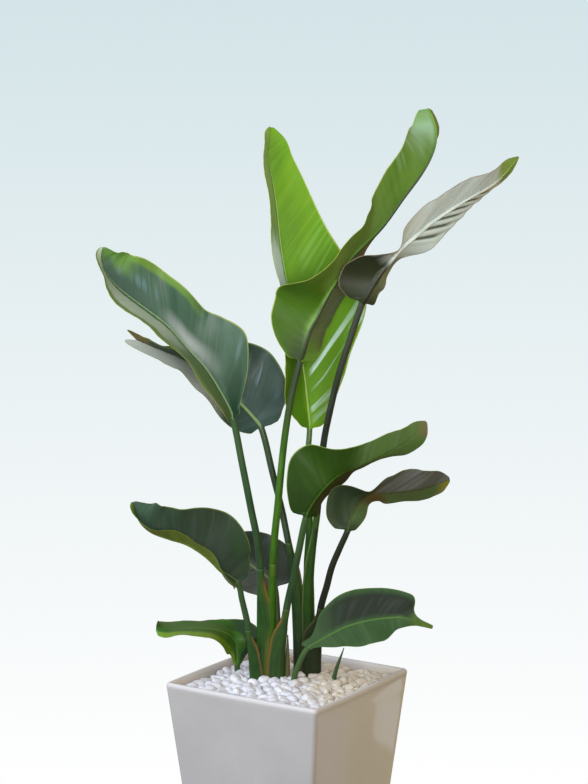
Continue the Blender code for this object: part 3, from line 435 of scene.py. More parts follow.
LOOKS = {
    "leaf_upper_left": look(
        [(20, 56, 23), (34, 84, 30)],
        (21, 62, 36), (50, 115, 74), (110, 180, 140), (160, 260, 120), (220, 310, 50), 0.46,
        (66, 110, -10, 36, 14, (30, 75, 52)),
        (46, 110, 82, 110, 6, (100, 205, 30)),
        (80, 110, 44, 110, 13, (85, 195, 24)),
        (93, 110, -10, 110, 5, (60, 150, 22)),
        (-10, 17, 20, 80, 7, (16, 50, 26)),
        # painted sheen: a pale band beside the midrib, bluish streaks higher up and a bluish-white
        # highlight near the base
        (26, 50, -2, 26, 13, (260, 310, 295)),
        (62, 92, 36, 56, 10, (100, 180, 220), 0.6),
        (6, 20, 70, 95, 8, (220, 320, 420), 0.8),
        (-10, 45, -110, -14, 7, (95, 165, 60)),
        (42, 110, -110, -14, 7, (380, 480, 390)),
        (10, 110, -120, -80, 7, (150, 240, 90)),
        rise=(0.4, 0.6), shine=0.22, lines=0.3, rib_width=0.0024,
    ),
    "leaf_upper_left_behind": look(
        [(18, 42, 20), (30, 62, 27)],
        (20, 43, 34), (38, 70, 56), (90, 130, 110), (150, 220, 80), (130, 190, 40), 0.46,
        (22, 110, -110, 4, 7, (340, 370, 330)),
        # painted highlight: bluish streaks on the lobe
        (14, 32, 45, 78, 10, (160, 205, 270), 0.7),
        (60, 110, 70, 120, 10, (120, 170, 24)),
        (88, 110, 20, 120, 5, (150, 110, 30)),
        shine=0.2, rib_width=0.0026,
        back=face(
            (200, 230, 195), (300, 330, 290), (360, 380, 340), (260, 300, 220), (200, 200, 100), 0.42,
        ),
    ),
    "leaf_top_centre": look(
        [(34, 88, 20), (58, 130, 30)],
        # the front's tones: the leaf's own yellow-green, brightened with painted light shining through
        # the blade
        (90, 225, 6), (135, 290, 10), (240, 420, 70), (270, 400, 130), (340, 420, 80), 0.55,
        # painted light: the narrow left strip made pale and silvery where light from the left falls on it
        (36, 60, -110, -14, 6, (690, 800, 850)),
        (-10, 30, -110, -10, 8, (66, 178, 8)),
        (60, 96, -110, -14, 8, (280, 420, 165)),
        (10, 50, -10, 110, 10, (86, 220, 5)),
        (34, 66, 30, 110, 10, (170, 350, 60), 0.6),
        # painted highlight: bluish-white streaks low on the right half
        (6, 34, 16, 110, 8, (460, 650, 590), 0.95),
        rise=(0.6, 0.8), shine=0.12, coat=0, lines=0.2,
    ),
    "leaf_top_right": look(
        [(28, 100, 6), (54, 156, 9)],
        (84, 194, 23), (134, 268, 41), (180, 320, 70), (30, 45, 20), (260, 320, 60), 0.38,
        (-10, 27, -110, -10, 8, (47, 124, 7)),
        (-10, 10, -80, 10, 8, (36, 58, 22)),
        # painted shade: the folded-over right half, darkened as it is in shade
        (5, 75, 12, 110, 10, (54, 74, 34)),
        # painted highlight: a pale sheen near the tip and bluish streaks along the left edge
        (84, 98, -95, -10, 10, (240, 400, 260)),
        (72, 90, -110, -62, 8, (200, 360, 250), 0.8),
        shine=0.3, rib_width=0.003, neck=(24, 42, 18),
    ),
    "leaf_right_high": look(
        [(16, 21, 16), (34, 41, 30)],
        (465, 570, 580), (630, 750, 790), (700, 740, 720), (520, 580, 500), (260, 210, 140), 0.42,
        (30, 110, 0, 110, 6, (570, 700, 720)),
        # painted shade: the base lobes, seen from beneath, darkened as they lie in shade
        (-10, 24, -110, 110, 5, (20, 28, 12)),
        (8, 26, 30, 110, 8, (170, 240, 150)),
        (74, 87, 5, 80, 4, (760, 790, 750)),
        (86, 110, -110, 110, 4, (205, 350, 58)),
        # the midrib's foot and the fold valleys take painted shade
        rise=(1.4, 0.9), shine=0.3, lines=0.06, relief=0, rib_foot=(22, 26, 18), groove=(90, 120, 95),
    ),
    "leaf_right_middle": look(
        [(20, 55, 20), (38, 85, 28)],
        (11, 39, 2), (21, 57, 4), (70, 140, 30), (60, 130, 20), (150, 240, 40), 0.52,
        (-10, 14, -110, 110, 6, (16, 42, 6)),
        (30, 110, -110, 110, 12, (28, 70, 7)),
        (52, 110, -110, 110, 12, (108, 215, 62)),
        (94, 110, -110, 110, 3, (180, 190, 90)),
        (50, 96, -110, 20, 12, (150, 250, 110), 0.4),
        (12, 42, 25, 110, 8, (26, 34, 16)),
        shine=0.1,
        back=face(
            (60, 115, 30), (90, 160, 45), (120, 200, 70), (100, 160, 50), (170, 270, 50), 0.42,
            shine=0.2,
        ),
    ),
    "leaf_right_dark": look(
        [(10, 14, 8), (20, 26, 14)],
        (24, 43, 18), (49, 76, 38), (30, 30, 25), (70, 90, 25), (100, 140, 30), 0.5,
        (36, 110, -110, 2, 6, (85, 94, 82)),
        (36, 110, -110, 2, 6, (145, 156, 148), 0.8),
        (10, 110, 8, 110, 7, (84, 150, 54)),
        (28, 46, 0, 90, 6, (105, 78, 26)),
        (90, 110, 10, 110, 5, (200, 190, 30)),
        rise=(1.2, 0.4), shine=0.12, lines=0.3,
    ),
    "leaf_right_low": look(
        [(34, 85, 20), (60, 125, 34)],
        (32, 72, 24), (56, 108, 44), (60, 110, 50), (75, 160, 40), (70, 170, 30), 0.6,
        (22, 86, -88, -10, 13, (24, 32, 23)),
        # painted sheen: greyish streaks over the left half
        (30, 80, -70, -16, 12, (52, 62, 52), 0.5),
        (86, 110, -110, 110, 6, (110, 190, 40)),
        shine=0.05, coat=0,
    ),
    "leaf_left_middle": look(
        [(26, 74, 26), (46, 105, 36)],
        (18, 40, 22), (40, 68, 46), (100, 120, 100), (80, 140, 50), (120, 180, 30), 0.42,
        (62, 110, -30, 110, 12, (46, 90, 58)),
        # painted sheen: greyish streaks over the middle of the blade
        (20, 62, 15, 75, 14, (46, 68, 60), 0.5),
        (55, 95, 20, 80, 14, (72, 96, 78), 0.6),
        (10, 30, 55, 100, 12, (28, 66, 30)),
        (-10, 110, -110, -35, 12, (90, 150, 18)),
        shine=0.25,
        back=face(
            (100, 175, 20), (165, 260, 34), (160, 230, 40), (90, 140, 30), (170, 170, 30), 0.46,
            shine=0.15,
        ),
    ),
    "leaf_back_middle": look(
        [(32, 48, 26), (54, 74, 40)],
        (54, 62, 50), (104, 112, 95), (18, 26, 18), (130, 200, 70), (80, 110, 50), 0.5,
        (10, 90, -110, -5, 8, (26, 34, 25), 0.8),
        (5, 110, 12, 110, 8, (20, 32, 20)),
        (5, 90, 10, 110, 8, (16, 26, 16), 0.8),
        rise=(0.7, 0.3), shine=0.15, lines=0.7,
    ),
    "leaf_left_low": look(
        [(28, 70, 24), (50, 100, 32)],
        (28, 96, 10), (50, 145, 16), (80, 170, 30), (90, 190, 30), (140, 230, 30), 0.42,
        (30, 110, -50, 90, 12, (30, 110, 10)),
        (-10, 110, -110, -50, 14, (132, 258, 12)),
        # painted shade: the right half near the base, darker where it lies in shade
        (4, 34, 42, 110, 6, (18, 46, 16)),
        shine=0.2,
    ),
}


def sheath_look(outside, inside, core, tan, edge, foot, trim=1.0, glow=None):
    """The tones of a sheath and of the stalk inside it, then of what lies just inside its
    margins, the margins and its foot."""
    return {
        "outside": outside, "inside": inside, "core": core, "tan": tan, "edge": edge,
        "foot": foot, "trim": trim, "glow": glow,
    }


DARK_FOOT = (42, 41, 35)
RUST = (290, 120, 30)
OLD_SHEATH_TONES = ((60, 70, 25), (110, 105, 40))
SHOOT_TONES = ((28, 60, 26), (50, 95, 35))
SHEATH_LOOKS = {
    "leaf_upper_left": sheath_look(
        [(14, 56, 11), (29, 94, 16)], [(70, 40, 12), (170, 80, 22)], [(18, 54, 14), (32, 84, 22)],
        (100, 100, 20), RUST, (50, 95, 14), trim=2.2, glow=(140, 160, 16),
    ),
    "leaf_top_right": sheath_look(
        [(22, 88, 3), (40, 136, 5)], [(75, 60, 15), (140, 95, 25)], [(43, 107, 7), (65, 148, 10)],
        (85, 130, 24), (160, 130, 30), (50, 110, 20),
    ),
    "leaf_right_middle": sheath_look(
        [(16, 49, 11), (32, 82, 16)], [(60, 50, 18), (100, 80, 28)], [(22, 61, 12), (35, 86, 15)],
        (110, 95, 22), RUST, (30, 52, 16), trim=1.4,
    ),
    "leaf_left_middle": sheath_look(
        [(16, 54, 12), (30, 86, 16)], [(80, 60, 18), (150, 95, 28)], [(22, 66, 12), (35, 90, 15)],
        (150, 105, 34), (250, 150, 50), (50, 80, 30),
    ),
    "leaf_back_middle": sheath_look(
        [(17, 45, 10), (30, 70, 13)], [(60, 50, 18), (100, 80, 28)], [(22, 49, 11), (32, 70, 13)],
        (100, 80, 26), (160, 110, 40), DARK_FOOT,
    ),
    "leaf_upper_left_behind": sheath_look(
        [(13, 39, 8), (24, 66, 12)], [(50, 50, 16), (85, 80, 26)], [(17, 45, 9), (29, 70, 13)],
        (85, 110, 30), (140, 150, 50), DARK_FOOT,
    ),
    "leaf_top_centre": sheath_look(
        [(7, 47, 2), (15, 76, 3)], [(55, 70, 18), (85, 100, 26)], [(18, 68, 5), (30, 98, 7)],
        (80, 130, 30), (130, 170, 50), DARK_FOOT,
    ),
    "leaf_right_high": sheath_look(
        [(10, 42, 3), (20, 72, 5)], [(55, 70, 18), (85, 100, 26)], [(19, 53, 7), (30, 82, 10)],
        (70, 110, 28), (120, 150, 45), DARK_FOOT,
    ),
    "leaf_right_dark": sheath_look(
        [(12, 21, 6), (22, 36, 10)], [(45, 50, 16), (80, 80, 26)], [(13, 25, 6), (22, 36, 9)],
        (60, 70, 22), (110, 85, 30), (22, 26, 16),
    ),
}
FAN_SLOTS = {"crown_left": "sheath_green", "crown_right": "sheath_green_dark"}


def along(stations, place):
    """The station values at a place, on a smooth line through all of them. The first value, a
    width, rounds off at both ends."""
    last = len(stations) - 1
    i = 0
    while i < last - 1 and place > stations[i + 1][0]:
        i += 1
    a, b = stations[i], stations[i + 1]
    before = stations[max(i - 1, 0)]
    after = stations[min(i + 2, last)]
    span = b[0] - a[0]
    f = min(max((place - a[0]) / span, 0.0), 1.0)
    values = []
    for k in range(1, len(a)):
        step = b[k] - a[k]
        end_rise = END_ROUNDING * step if k == 1 else step
        rise_a = end_rise if i == 0 else (b[k] - before[k]) / (b[0] - before[0]) * span
        rise_b = end_rise if i + 1 == last else (after[k] - a[k]) / (after[0] - a[0]) * span
        h = f * f * (3 - 2 * f)
        values.append(a[k] + step * h + rise_a * f * (1 - f) ** 2 - rise_b * f * f * (1 - f))
    return values


def at_length(line, start, end, share):
    """Place and direction at a share of the length between two indices of a line."""
    lengths = [0.0]
    for i in range(start, end):
        lengths.append(lengths[-1] + (line[i + 1] - line[i]).length)
    target = share * lengths[-1]
    i = 0
    while i < len(lengths) - 2 and lengths[i + 1] < target:
        i += 1
    f = (target - lengths[i]) / (lengths[i + 1] - lengths[i])
    ends = []
    for k in (start + i, start + i + 1):
        chord = line[min(k + 2, len(line) - 1)] - line[max(k - 2, 0)]
        ends.append(chord.normalized())
    place = line[start + i].lerp(line[start + i + 1], f)
    return place, ends[0].lerp(ends[1], f).normalized()


def length_of(line, start, end):
    return sum((line[i + 1] - line[i]).length for i in range(start, end))


def frame_of(direction):
    """Sideways and towards-the-viewer axes square to a direction."""
    side = direction.cross(TOWARDS_VIEWER).normalized()
    return side, side.cross(direction).normalized()


def smooth_step(low, high, x):
    f = min(max((x - low) / (high - low), 0.0), 1.0)
    return f * f * (3 - 2 * f)


def rise_of(leaf, across):
    """How far one half's side veins rise towards the tip, for each mm that they run across."""
    return leaf["rise"][across > 0]


def ridge_height(leaf, sign, place):
    """How far the folds along the veins lift one half of the blade at a place along it."""
    if "ridges" not in leaf:
        return 0.0
    folded, start, end, count, height = leaf["ridges"]
    f = (place - start) / (end - start)
    if folded != sign or not 0 < f < 1:
        return 0.0
    return height * math.sin(math.tau * count * f) * math.sin(math.pi * f) ** 0.5


def vein_relief(leaf, sign, length, distance, q, place):
    """The fine relief: pleats and side veins that run out from the midrib, and a wavering edge."""
    seed = leaf["seed"] + 5.0 * sign
    fade = smooth_step(0.0, 0.12, q) * smooth_step(0.0, 0.06, place) * smooth_step(1.0, 0.93, place)
    pleat = noise.noise(Vector((length / 13, distance / 160, seed)))
    vein = noise.noise(Vector((length / 7, distance / 200, seed + 3)))
    vein *= max(0.0, 1 - rise_of(leaf, sign))
    waver = noise.noise(Vector((length / 55, q * 0.8, seed + 6)))
    return fade * (0.75 * pleat + 0.28 * vein + 2.4 * q * q * waver)


def half_blade(leaf, row, sign, distance, axes, place, reach):
    """A point of one half of the blade and the blade's normal there."""
    side, front, direction = axes
    width, tilt, sweep, curl = row
    q = distance / width
    start = math.radians(tilt)
    bend = math.radians(curl)
    angle = start + bend * q
    if abs(bend) < LEAST_BEND:
        out = distance * math.cos(start)
        lift = distance * math.sin(start)
    else:
        out = width / bend * (math.sin(angle) - math.sin(start))
        lift = width / bend * (math.cos(start) - math.cos(angle))
    normal = side * (-sign * math.sin(angle)) + front * math.cos(angle)
    height, count, phase = leaf["wave"]
    ripple = height * q * q * math.sin(math.tau * count * place + phase + sign)
    ripple *= math.sin(math.pi * min(place * 1.05, 1.0)) ** 0.5
    rise = rise_of(leaf, sign)
    fold = ridge_height(leaf, sign, place - rise * distance / reach)
    ripple += fold * min(1.0, 2.5 * q) * (1.0 - 0.75 * q * q)
    ripple += vein_relief(leaf, sign, place * reach - min(rise, 0.7) * distance, distance, q, place)
    point = side * (sign * out) + front * lift + direction * (sweep * distance)
    return point + normal * ripple, normal


def stem_ring(place, direction, radius, columns):
    """Points round a stem: the front ones from left to right, then the back ones."""
    side, front = frame_of(direction)
    rows = []
    for facing in (1, -1):
        row = []
        for i in range(-columns, columns + 1):
            a = math.radians(STEM_SIDE) * i / columns
            out = side * (radius * math.sin(a))
            row.append(place + out + front * (facing * radius * math.cos(a)))
        rows.append(row)
    return rows


def blade_ring(leaf, place, direction, share, radius, reach):
    """Points round the blade at a share of its length, in the same order, and for each point of
    a row how far from the midrib it lies, in mm and as a share of the width."""
    side, front = frame_of(direction)
    halves = {}
    for sign in (-1, 1):
        row = along(leaf["halves"][sign > 0], share)
        row[0] = max(row[0], LEAST_HALF_WIDTH)
        keel = min(radius, row[0] * KEEL_SHARE)
        distances = [keel * f for f in RIB_COLUMNS]
        distances += [keel + (row[0] - keel) * f for f in BLADE_COLUMNS]
        halves[sign] = []
        for d in distances:
            p, n = half_blade(leaf, row, sign, d, (side, front, direction), share, reach)
            swell = max(0.0, 1 - (d / max(keel, 0.01)) ** 2) ** 0.5
            halves[sign].append([place + p, n, sign * d, sign * d / row[0], swell])
    middle = halves[-1][0][1] + halves[1][0][1]
    middle = middle.normalized() if middle.length > 0.2 else front
    near = len(RIB_COLUMNS)
    for points in halves.values():
        for i in range(near):
            points[i][1] = middle.lerp(points[i][1], i / near).normalized()
    points = halves[-1][:0:-1] + halves[1]
    rows = []
    for facing in (1, -1):
        row = []
        for p, n, d, q, swell in points:
            depth = BLADE_MIDDLE + (BLADE_EDGE - BLADE_MIDDLE) * abs(q)
            if (facing == 1) == ("keel_front" in leaf):
                depth += radius * swell
            else:
                depth -= min(0.5, radius * 0.2) * swell
            row.append(p + n * (facing * depth))
        rows.append(row)
    return rows, [(d, q) for p, n, d, q, swell in points]


class Loft:
    """Rings of a front and a back row of points that a piece is skinned from. Each point has two
    pairs of map places for the materials: veins in metres, and share."""

    def __init__(self):
        self.rings = []
        self.maps = {"veins": [], "share": []}

    def add(self, rows, places):
        """Takes a ring in, with the two map places of each point of a row."""
        self.rings.append(rows)
        for i, pairs in enumerate(self.maps.values()):
            pairs.extend([place[i] for place in places] * 2)

    def mesh(self, name, split):
        """The closed mesh. Slot 0 is the front of the blade, 1 its back and 2 the stem, which
        ends at the ring numbered split."""
        count = len(self.rings[0][0])
        faces = []
        slots = []
        for r in range(len(self.rings) - 1):
            a, b = 2 * count * r, 2 * count * (r + 1)
            front, back = (2, 2) if r < split else (0, 1)
            for i in range(count - 1):
                j = count + i
                faces.append((a + i, a + i + 1, b + i + 1, b + i))
                faces.append((a + j + 1, a + j, b + j, b + j + 1))
                slots += [front, back]
            i, j = count - 1, 2 * count - 1
            faces.append((a + count, a, b, b + count))
            faces.append((a + i, a + j, b + j, b + i))
            slots += [front, front]
        last = 2 * count * (len(self.rings) - 1)
        around = [*range(count), *range(2 * count - 1, count - 1, -1)]
        faces += [tuple(around[::-1]), tuple(last + i for i in around)]
        slots += [slots[0], slots[-1]]
        mesh = bpy.data.meshes.new(name)
        mesh.from_pydata([p * MM for front, back in self.rings for p in front + back], [], faces)
        mesh.polygons.foreach_set("material_index", slots)
        mesh.polygons.foreach_set("use_smooth", [True] * (len(faces) - 2) + [False] * 2)
        for map_name, pairs in self.maps.items():
            layer = mesh.uv_layers.new(name=map_name)
            flat = [value for loop in mesh.loops for value in pairs[loop.vertex_index]]
            layer.uv.foreach_set("vector", flat)
        bm = bmesh.new()
        bm.from_mesh(mesh)
        bmesh.ops.recalc_face_normals(bm, faces=bm.faces)
        bm.to_mesh(mesh)
        bm.free()
        return mesh


def add_object(name, data):
    ob = bpy.data.objects.new(name, data)
    bpy.context.scene.collection.objects.link(ob)
    return ob


def stand(name, mesh, materials, nodes, turned=True):
    """Adds a piece that rides on the one body and stands for solids."""
    for mat in materials:
        mesh.materials.append(mat)
    if turned:
        mesh.transform(PLANT_TURN.to_4x4())
    ob = add_object(name, mesh)
    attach(ob, "root")
    if nodes:
        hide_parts(*nodes)


def leaf_places(leaf, marks, length, share):
    """Map places of a leaf's ring: along its side veins and across, then shares of the blade."""
    places = []
    for d, q in marks:
        rise = rise_of(leaf, d) if share > 0 else 0.0
        places.append((((length - rise * abs(d)) * MM, d * MM), (share, q)))
    return places


def add_stalk(loft, leaf, stalk):
    """The rings of a leaf's stalk, from its joint with the sheath to the base of the blade."""
    foot_radius, neck_radius = leaf["stem"]
    count = int(stalk / PETIOLE_STEP) + 2
    turns = [STEM_SIDE * i / HALF_COLUMNS / 90 for i in range(-HALF_COLUMNS, HALF_COLUMNS + 1)]
    for share in (0.0, STALK_CAP / stalk, *(i / count for i in range(1, count))):
        place, direction = at_length(leaf["line"], leaf["foot"], leaf["base"], share)
        radius = foot_radius + (neck_radius - foot_radius) * share
        marks = [(radius * math.sin(math.radians(90 * t)), t) for t in turns]
        places = leaf_places(leaf, marks, (share - 1) * stalk, share - 1)
        loft.add(stem_ring(place, direction, radius, HALF_COLUMNS), places)


def add_blade(loft, leaf, reach):
    """The rings of a leaf's blade, which grow out of the stalk's over the first few mm."""
    line, base = leaf["line"], leaf["base"]
    neck_radius = leaf["stem"][1]
    steps = int(reach / RING_STEP)
    for i in range(steps + 1):
        share = i / steps
        place, direction = at_length(line, base, len(line) - 1, share)
        radius = neck_radius * (1 - share) ** 0.8 + 0.3
        rows, marks = blade_ring(leaf, place, direction, share, radius, reach)
        grown = smooth_step(0.0, NECK_BLEND, share * reach)
        if grown < 1:
            stem = stem_ring(place, direction, neck_radius, HALF_COLUMNS)
            rows = [[p.lerp(q, grown) for p, q in zip(*pair)] for pair in zip(stem, rows)]
        loft.add(rows, leaf_places(leaf, marks, share * reach, share))


def add_leaf(name, leaf, look):
    """A leaf's stalk and blade as one piece."""
    stalk = length_of(leaf["line"], leaf["foot"], leaf["base"])
    leaf["reach"] = length_of(leaf["line"], leaf["base"], len(leaf["line"]) - 1)
    loft = Loft()
    add_stalk(loft, leaf, stalk)
    split = len(loft.rings)
    add_blade(loft, leaf, leaf["reach"])
    mats = [
        leaf_material(name + "_front", leaf, look["front"]),
        leaf_material(name + "_back", leaf, look["back"]),
        stem_material(name + "_stalk", look["stalk"], look["neck"]),
    ]
    stand(name + "_blade", loft.mesh(name + "_blade", split), mats, [name])


def sheath_section(keel, reach, thick):
    """Half a folded sheath in section, from its keel to its margin: places across and towards
    the viewer, with the way that each faces and how far it lies from the margin."""
    arc = thick * math.pi / 2
    points = []
    for i in range(SHEATH_NOSE):
        a = math.radians(90) * i / SHEATH_NOSE
        out, up = keel * math.cos(a), math.sin(a)
        points.append((thick * out, thick * up, out, up, reach + arc - thick * a))
    for i in range(SHEATH_WALL + 1):
        f = i / SHEATH_WALL
        drawn_in = thick * (1 - 0.42 * f * f)
        points.append((-keel * reach * f, drawn_in, -keel * 0.2 * f, 1.0, reach * (1 - f)))
    return points


def sheath_mesh(name, leaf, number):
    """A folded sheath with thin margins, whose top closes on the stalk."""
    line, foot = leaf["line"], leaf["foot"]
    length = length_of(line, 0, foot)
    stalk = leaf["stem"][0] - SHEATH_TUCK
    steps = int(length / SHEATH_STEP)
    loft = Loft()
    for i in range(steps + 1):
        share = i / steps
        place, direction = at_length(line, 0, foot, share)
        side, front = frame_of(direction)
        reach, thick = along(leaf["folds"], share)
        closing = smooth_step(0.72, 1.0, share)
        reach += (stalk * 0.8 - reach) * closing
        thick += (stalk - thick) * closing
        section = sheath_section(leaf["keel"], reach, thick)
        wobble = 0.35 * noise.noise(Vector((share * 9, number * 3.1, 0.5)))
        outer = []
        inner = []
        places = []
        for facing, points in ((1, section[::-1]), (-1, section[1:])):
            for x, y, nx, ny, margin in points:
                n = (side * nx + front * (facing * ny)).normalized()
                wall = 0.7 + 0.9 * smooth_step(0, 8, margin)
                rough = noise.noise(Vector((share * length / 30, margin / 2.2, number)))
                lift = (0.25 * rough + wobble) * (1 - closing)
                outer.append(place + side * x + front * (facing * y) + n * lift)
                inner.append(outer[-1] - n * wall)
                places.append(((share * length * MM, facing * margin * MM), (share, margin * MM)))
        loft.add((outer, inner), places)
    return loft.mesh(name + "_sheath", 0)


def tube_mesh(name, line, radii, columns=9, step=5.0):
    """A round stalk through a line, with its radius given at even places along it."""
    length = length_of(line, 0, len(line) - 1)
    count = int(length / step)
    loft = Loft()
    for i in range(count + 1):
        share = i / count
        place, direction = at_length(line, 0, len(line) - 1, share)
        k = min(int(share * (len(radii) - 1)), len(radii) - 2)
        f = share * (len(radii) - 1) - k
        radius = radii[k] + (radii[k + 1] - radii[k]) * f
        places = [
            ((share * length * MM, c / columns * 0.005), (share, 0.02))
            for c in range(-columns, columns + 1)
        ]
        loft.add(stem_ring(place, direction, radius, columns), places)
    return loft.mesh(name, len(loft.rings))


def joined(name, parts):
    """One mesh from several with their materials, whose slots follow one another."""
    bm = bmesh.new()
    mats = []
    for mesh, own in parts:
        start = len(bm.faces)
        bm.from_mesh(mesh)
        bm.faces.ensure_lookup_table()
        for face in bm.faces[start:]:
            face.material_index = len(mats) + min(face.material_index, len(own) - 1)
        mats += own
        bpy.data.meshes.remove(mesh)
    return mesh_of(bm, name), mats


def mesh_of(bm, name):
    mesh = bpy.data.meshes.new(name)
    bm.to_mesh(mesh)
    bm.free()
    return mesh


def smooth_mesh_of(bm, name):
    mesh = mesh_of(bm, name)
    mesh.polygons.foreach_set("use_smooth", [True] * len(mesh.polygons))
    return mesh


def add_crown(name):
    """All the sheaths of one fan with the stalks inside them."""
    parts = []
    for number, (key, leaf) in enumerate(LEAVES.items()):
        if leaf.get("crown") != name:
            continue
        look = SHEATH_LOOKS[key]
        top = LOOKS[key]["stalk"]
        mats = [
            sheath_material(key + "_sheath_" + face, look, look[face], top)
            for face in ("outside", "inside")
        ]
        parts.append((sheath_mesh(key, leaf, number), mats))
        radius = leaf["stem"][0]
        core = leaf["line"][:leaf["foot"] + 1]
        core = tube_mesh(key + "_core", core, (radius * 0.85, radius * 0.95, radius))
        parts.append((core, [stem_material(key + "_core", look["core"])]))
    if OLD_SHEATH["crown"] == name:
        spike = tube_mesh(name + "_old", smooth_line(OLD_SHEATH["line"]), OLD_SHEATH["radii"])
        parts.append((spike, [stem_material(name + "_old", OLD_SHEATH_TONES)]))
    mesh, mats = joined(name, parts)
    stand(name + "_sheaths", mesh, mats, [name])


def add_shoot():
    mesh = tube_mesh("young_shoot", smooth_line(SHOOT["line"]), SHOOT["radii"], 8, 3.0)
    mesh, mats = joined("young_shoot", [(mesh, [stem_material("young_shoot_skin", SHOOT_TONES)])])
    stand("young_shoot_spike", mesh, mats, ["young_shoot"])


class Shade:
    """A material or world under construction, with short names for the nodes it needs."""

    def __init__(self, name, tree=None):
        self.tree = tree
        if tree is None:
            self.mat = bpy.data.materials.new(name)
            self.mat.use_nodes = True
            self.tree = self.mat.node_tree
            self.shader = self.tree.nodes["Principled BSDF"]

    def put(self, value, socket):
        """Links or sets a socket. A colour is given in thousandths."""
        if hasattr(value, "is_output"):
            self.tree.links.new(value, socket)
        elif socket.type == "RGBA":
            socket.default_value = (*[part / 1000 for part in value], 1)
        else:
            socket.default_value = value

    def node(self, kind, inputs, **settings):
        """A new node's outputs, once its settings and inputs are given."""
        node = self.tree.nodes.new("ShaderNode" + kind)
        for key, value in settings.items():
            setattr(node, key, value)
        for key, value in inputs.items():
            self.put(value, node.inputs[key])
        return node.outputs

    def math(self, operation, a, b=0.0):
        return self.node("Math", {0: a, 1: b}, operation=operation)[0]

    def times(self, a, b):
        return self.math("MULTIPLY", a, b)

    def weighed(self, a, part_a, b, part_b):
        """The sum of two values, each times its part."""
        return self.math("ADD", self.times(a, part_a), self.times(b, part_b))

    def sway(self, value, reach):
        """How far a noise value lies from its middle, times a reach."""
        return self.times(self.math("SUBTRACT", value, 0.5), reach)

    def vector(self, x, y, z):
        return self.node("CombineXYZ", {0: x, 1: y, 2: z})[0]

    def split(self, vector):
        return tuple(self.node("SeparateXYZ", {0: vector}))

    def uv(self, name):
        return self.split(self.node("UVMap", {}, uv_map=name)[0])[:2]

    def place(self):
        return self.node("TexCoord", {})["Object"]

    def towards(self, vector, aim):
        """How far a vector reaches towards an aim that is given as the photograph's viewer sees it."""
        return self.node("VectorMath", {0: vector, 1: PLANT_TURN @ aim}, operation="DOT_PRODUCT")["Value"]

    def noise(self, vector, scale, detail=2.0, roughness=0.5, distortion=0.0):
        return self.node("TexNoise", {
            "Vector": vector, "Scale": scale, "Detail": detail, "Roughness": roughness,
            "Distortion": distortion,
        })["Fac"]

    def grain(self, x, fine_x, y, fine_y, seed, detail):
        """Noise over two map values, each with its own fineness, so that it draws out in streaks."""
        return self.noise(self.vector(self.times(x, fine_x), self.times(y, fine_y), seed), 1.0, detail)

    def ramp(self, value, low, high, to_low=0.0, to_high=1.0, kind="SMOOTHSTEP"):
        return self.node("MapRange", {
            "Value": value, "From Min": low, "From Max": high, "To Min": to_low, "To Max": to_high,
        }, interpolation_type=kind)[0]

    def within(self, value, low, high, soft):
        """1 where a value lies between two others, with soft ends."""
        rise = self.ramp(value, low - soft, low + soft)
        return self.times(rise, self.ramp(value, high + soft, high - soft))

    def mix(self, factor, a, b, blend="MIX"):
        return self.node(
            "Mix", {"Factor": factor, "A": a, "B": b}, data_type="RGBA", blend_type=blend,
        )["Result"]

    def bump(self, height, distance, strength=1.0):
        return self.node("Bump", {"Height": height, "Distance": distance, "Strength": strength})[0]

    def finish(self, **sockets):
        for key, value in sockets.items():
            self.put(value, self.shader.inputs[key.replace("_", " ")])
        return self.mat


def leaf_material(name, leaf, face):
    """Waxy blade: soft streaks along the side veins, a midrib, a thin margin and toned bands, some of
    them painted sheen, highlights and shade.
    """
    s = Shade(name)
    seed = leaf["seed"]
    length, distance = s.uv("veins")
    place, across = s.uv("share")
    out = s.math("ABSOLUTE", distance)
    edge = s.math("ABSOLUTE", across)
    steep = 1 + max(leaf["rise"])
    streak = s.grain(length, 115 / steep, distance, 5, seed, 2.0)
    fine = s.grain(length, 420 / steep, distance, 8, seed, 1.0)
    cloud = s.grain(length, 14, distance, 14, seed, 2.0)
    tone = s.weighed(streak, 0.4, cloud, 0.6)
    colour = s.mix(s.ramp(tone, 0.32, 0.68), face["dark"], face["light"])
    colour = s.mix(s.times(s.ramp(fine, 0.5, 0.8), face["lines"]), colour, face["vein"])
    wobble = s.sway(cloud, 0.22)
    at = s.math("ADD", place, wobble), s.math("ADD", across, wobble)
    for band in face["bands"]:
        colour = toned_band(s, colour, at, streak, *band)
    # painted shade along the valleys of the folds
    if "groove" in face:
        colour = s.mix(shaded_groove_mask(s, leaf, length, across), colour, face["groove"])
    rib = s.ramp(out, face["rib_width"] * 1.5, face["rib_width"] * 0.6)
    tinge = face["rib"]
    # painted shade: the midrib darker at the blade's base, which lies in shade
    if "rib_foot" in face:
        tinge = s.mix(s.ramp(place, 0.17, 0.27), face["rib_foot"], tinge)
    colour = s.mix(s.times(rib, s.ramp(place, 1.0, 0.7)), colour, tinge)
    colour = s.mix(s.ramp(edge, 0.965, 0.992), colour, face["margin"])
    height = s.weighed(streak, 0.7, fine, 0.3 / steep ** 2)
    rough = s.ramp(tone, 0.3, 0.7, face["rough"] - 0.05, face["rough"] + 0.07)
    s.finish(Specular_IOR_Level=face["shine"])
    return s.finish(
        Base_Color=colour, Roughness=rough, Normal=s.bump(height, 0.0008, face["relief"]),
        Coat_Weight=face["coat"], Coat_Roughness=0.2,
        Specular_IOR_Level=s.ramp(place, 0.0, 0.1, 0.02, face["shine"]),
    )


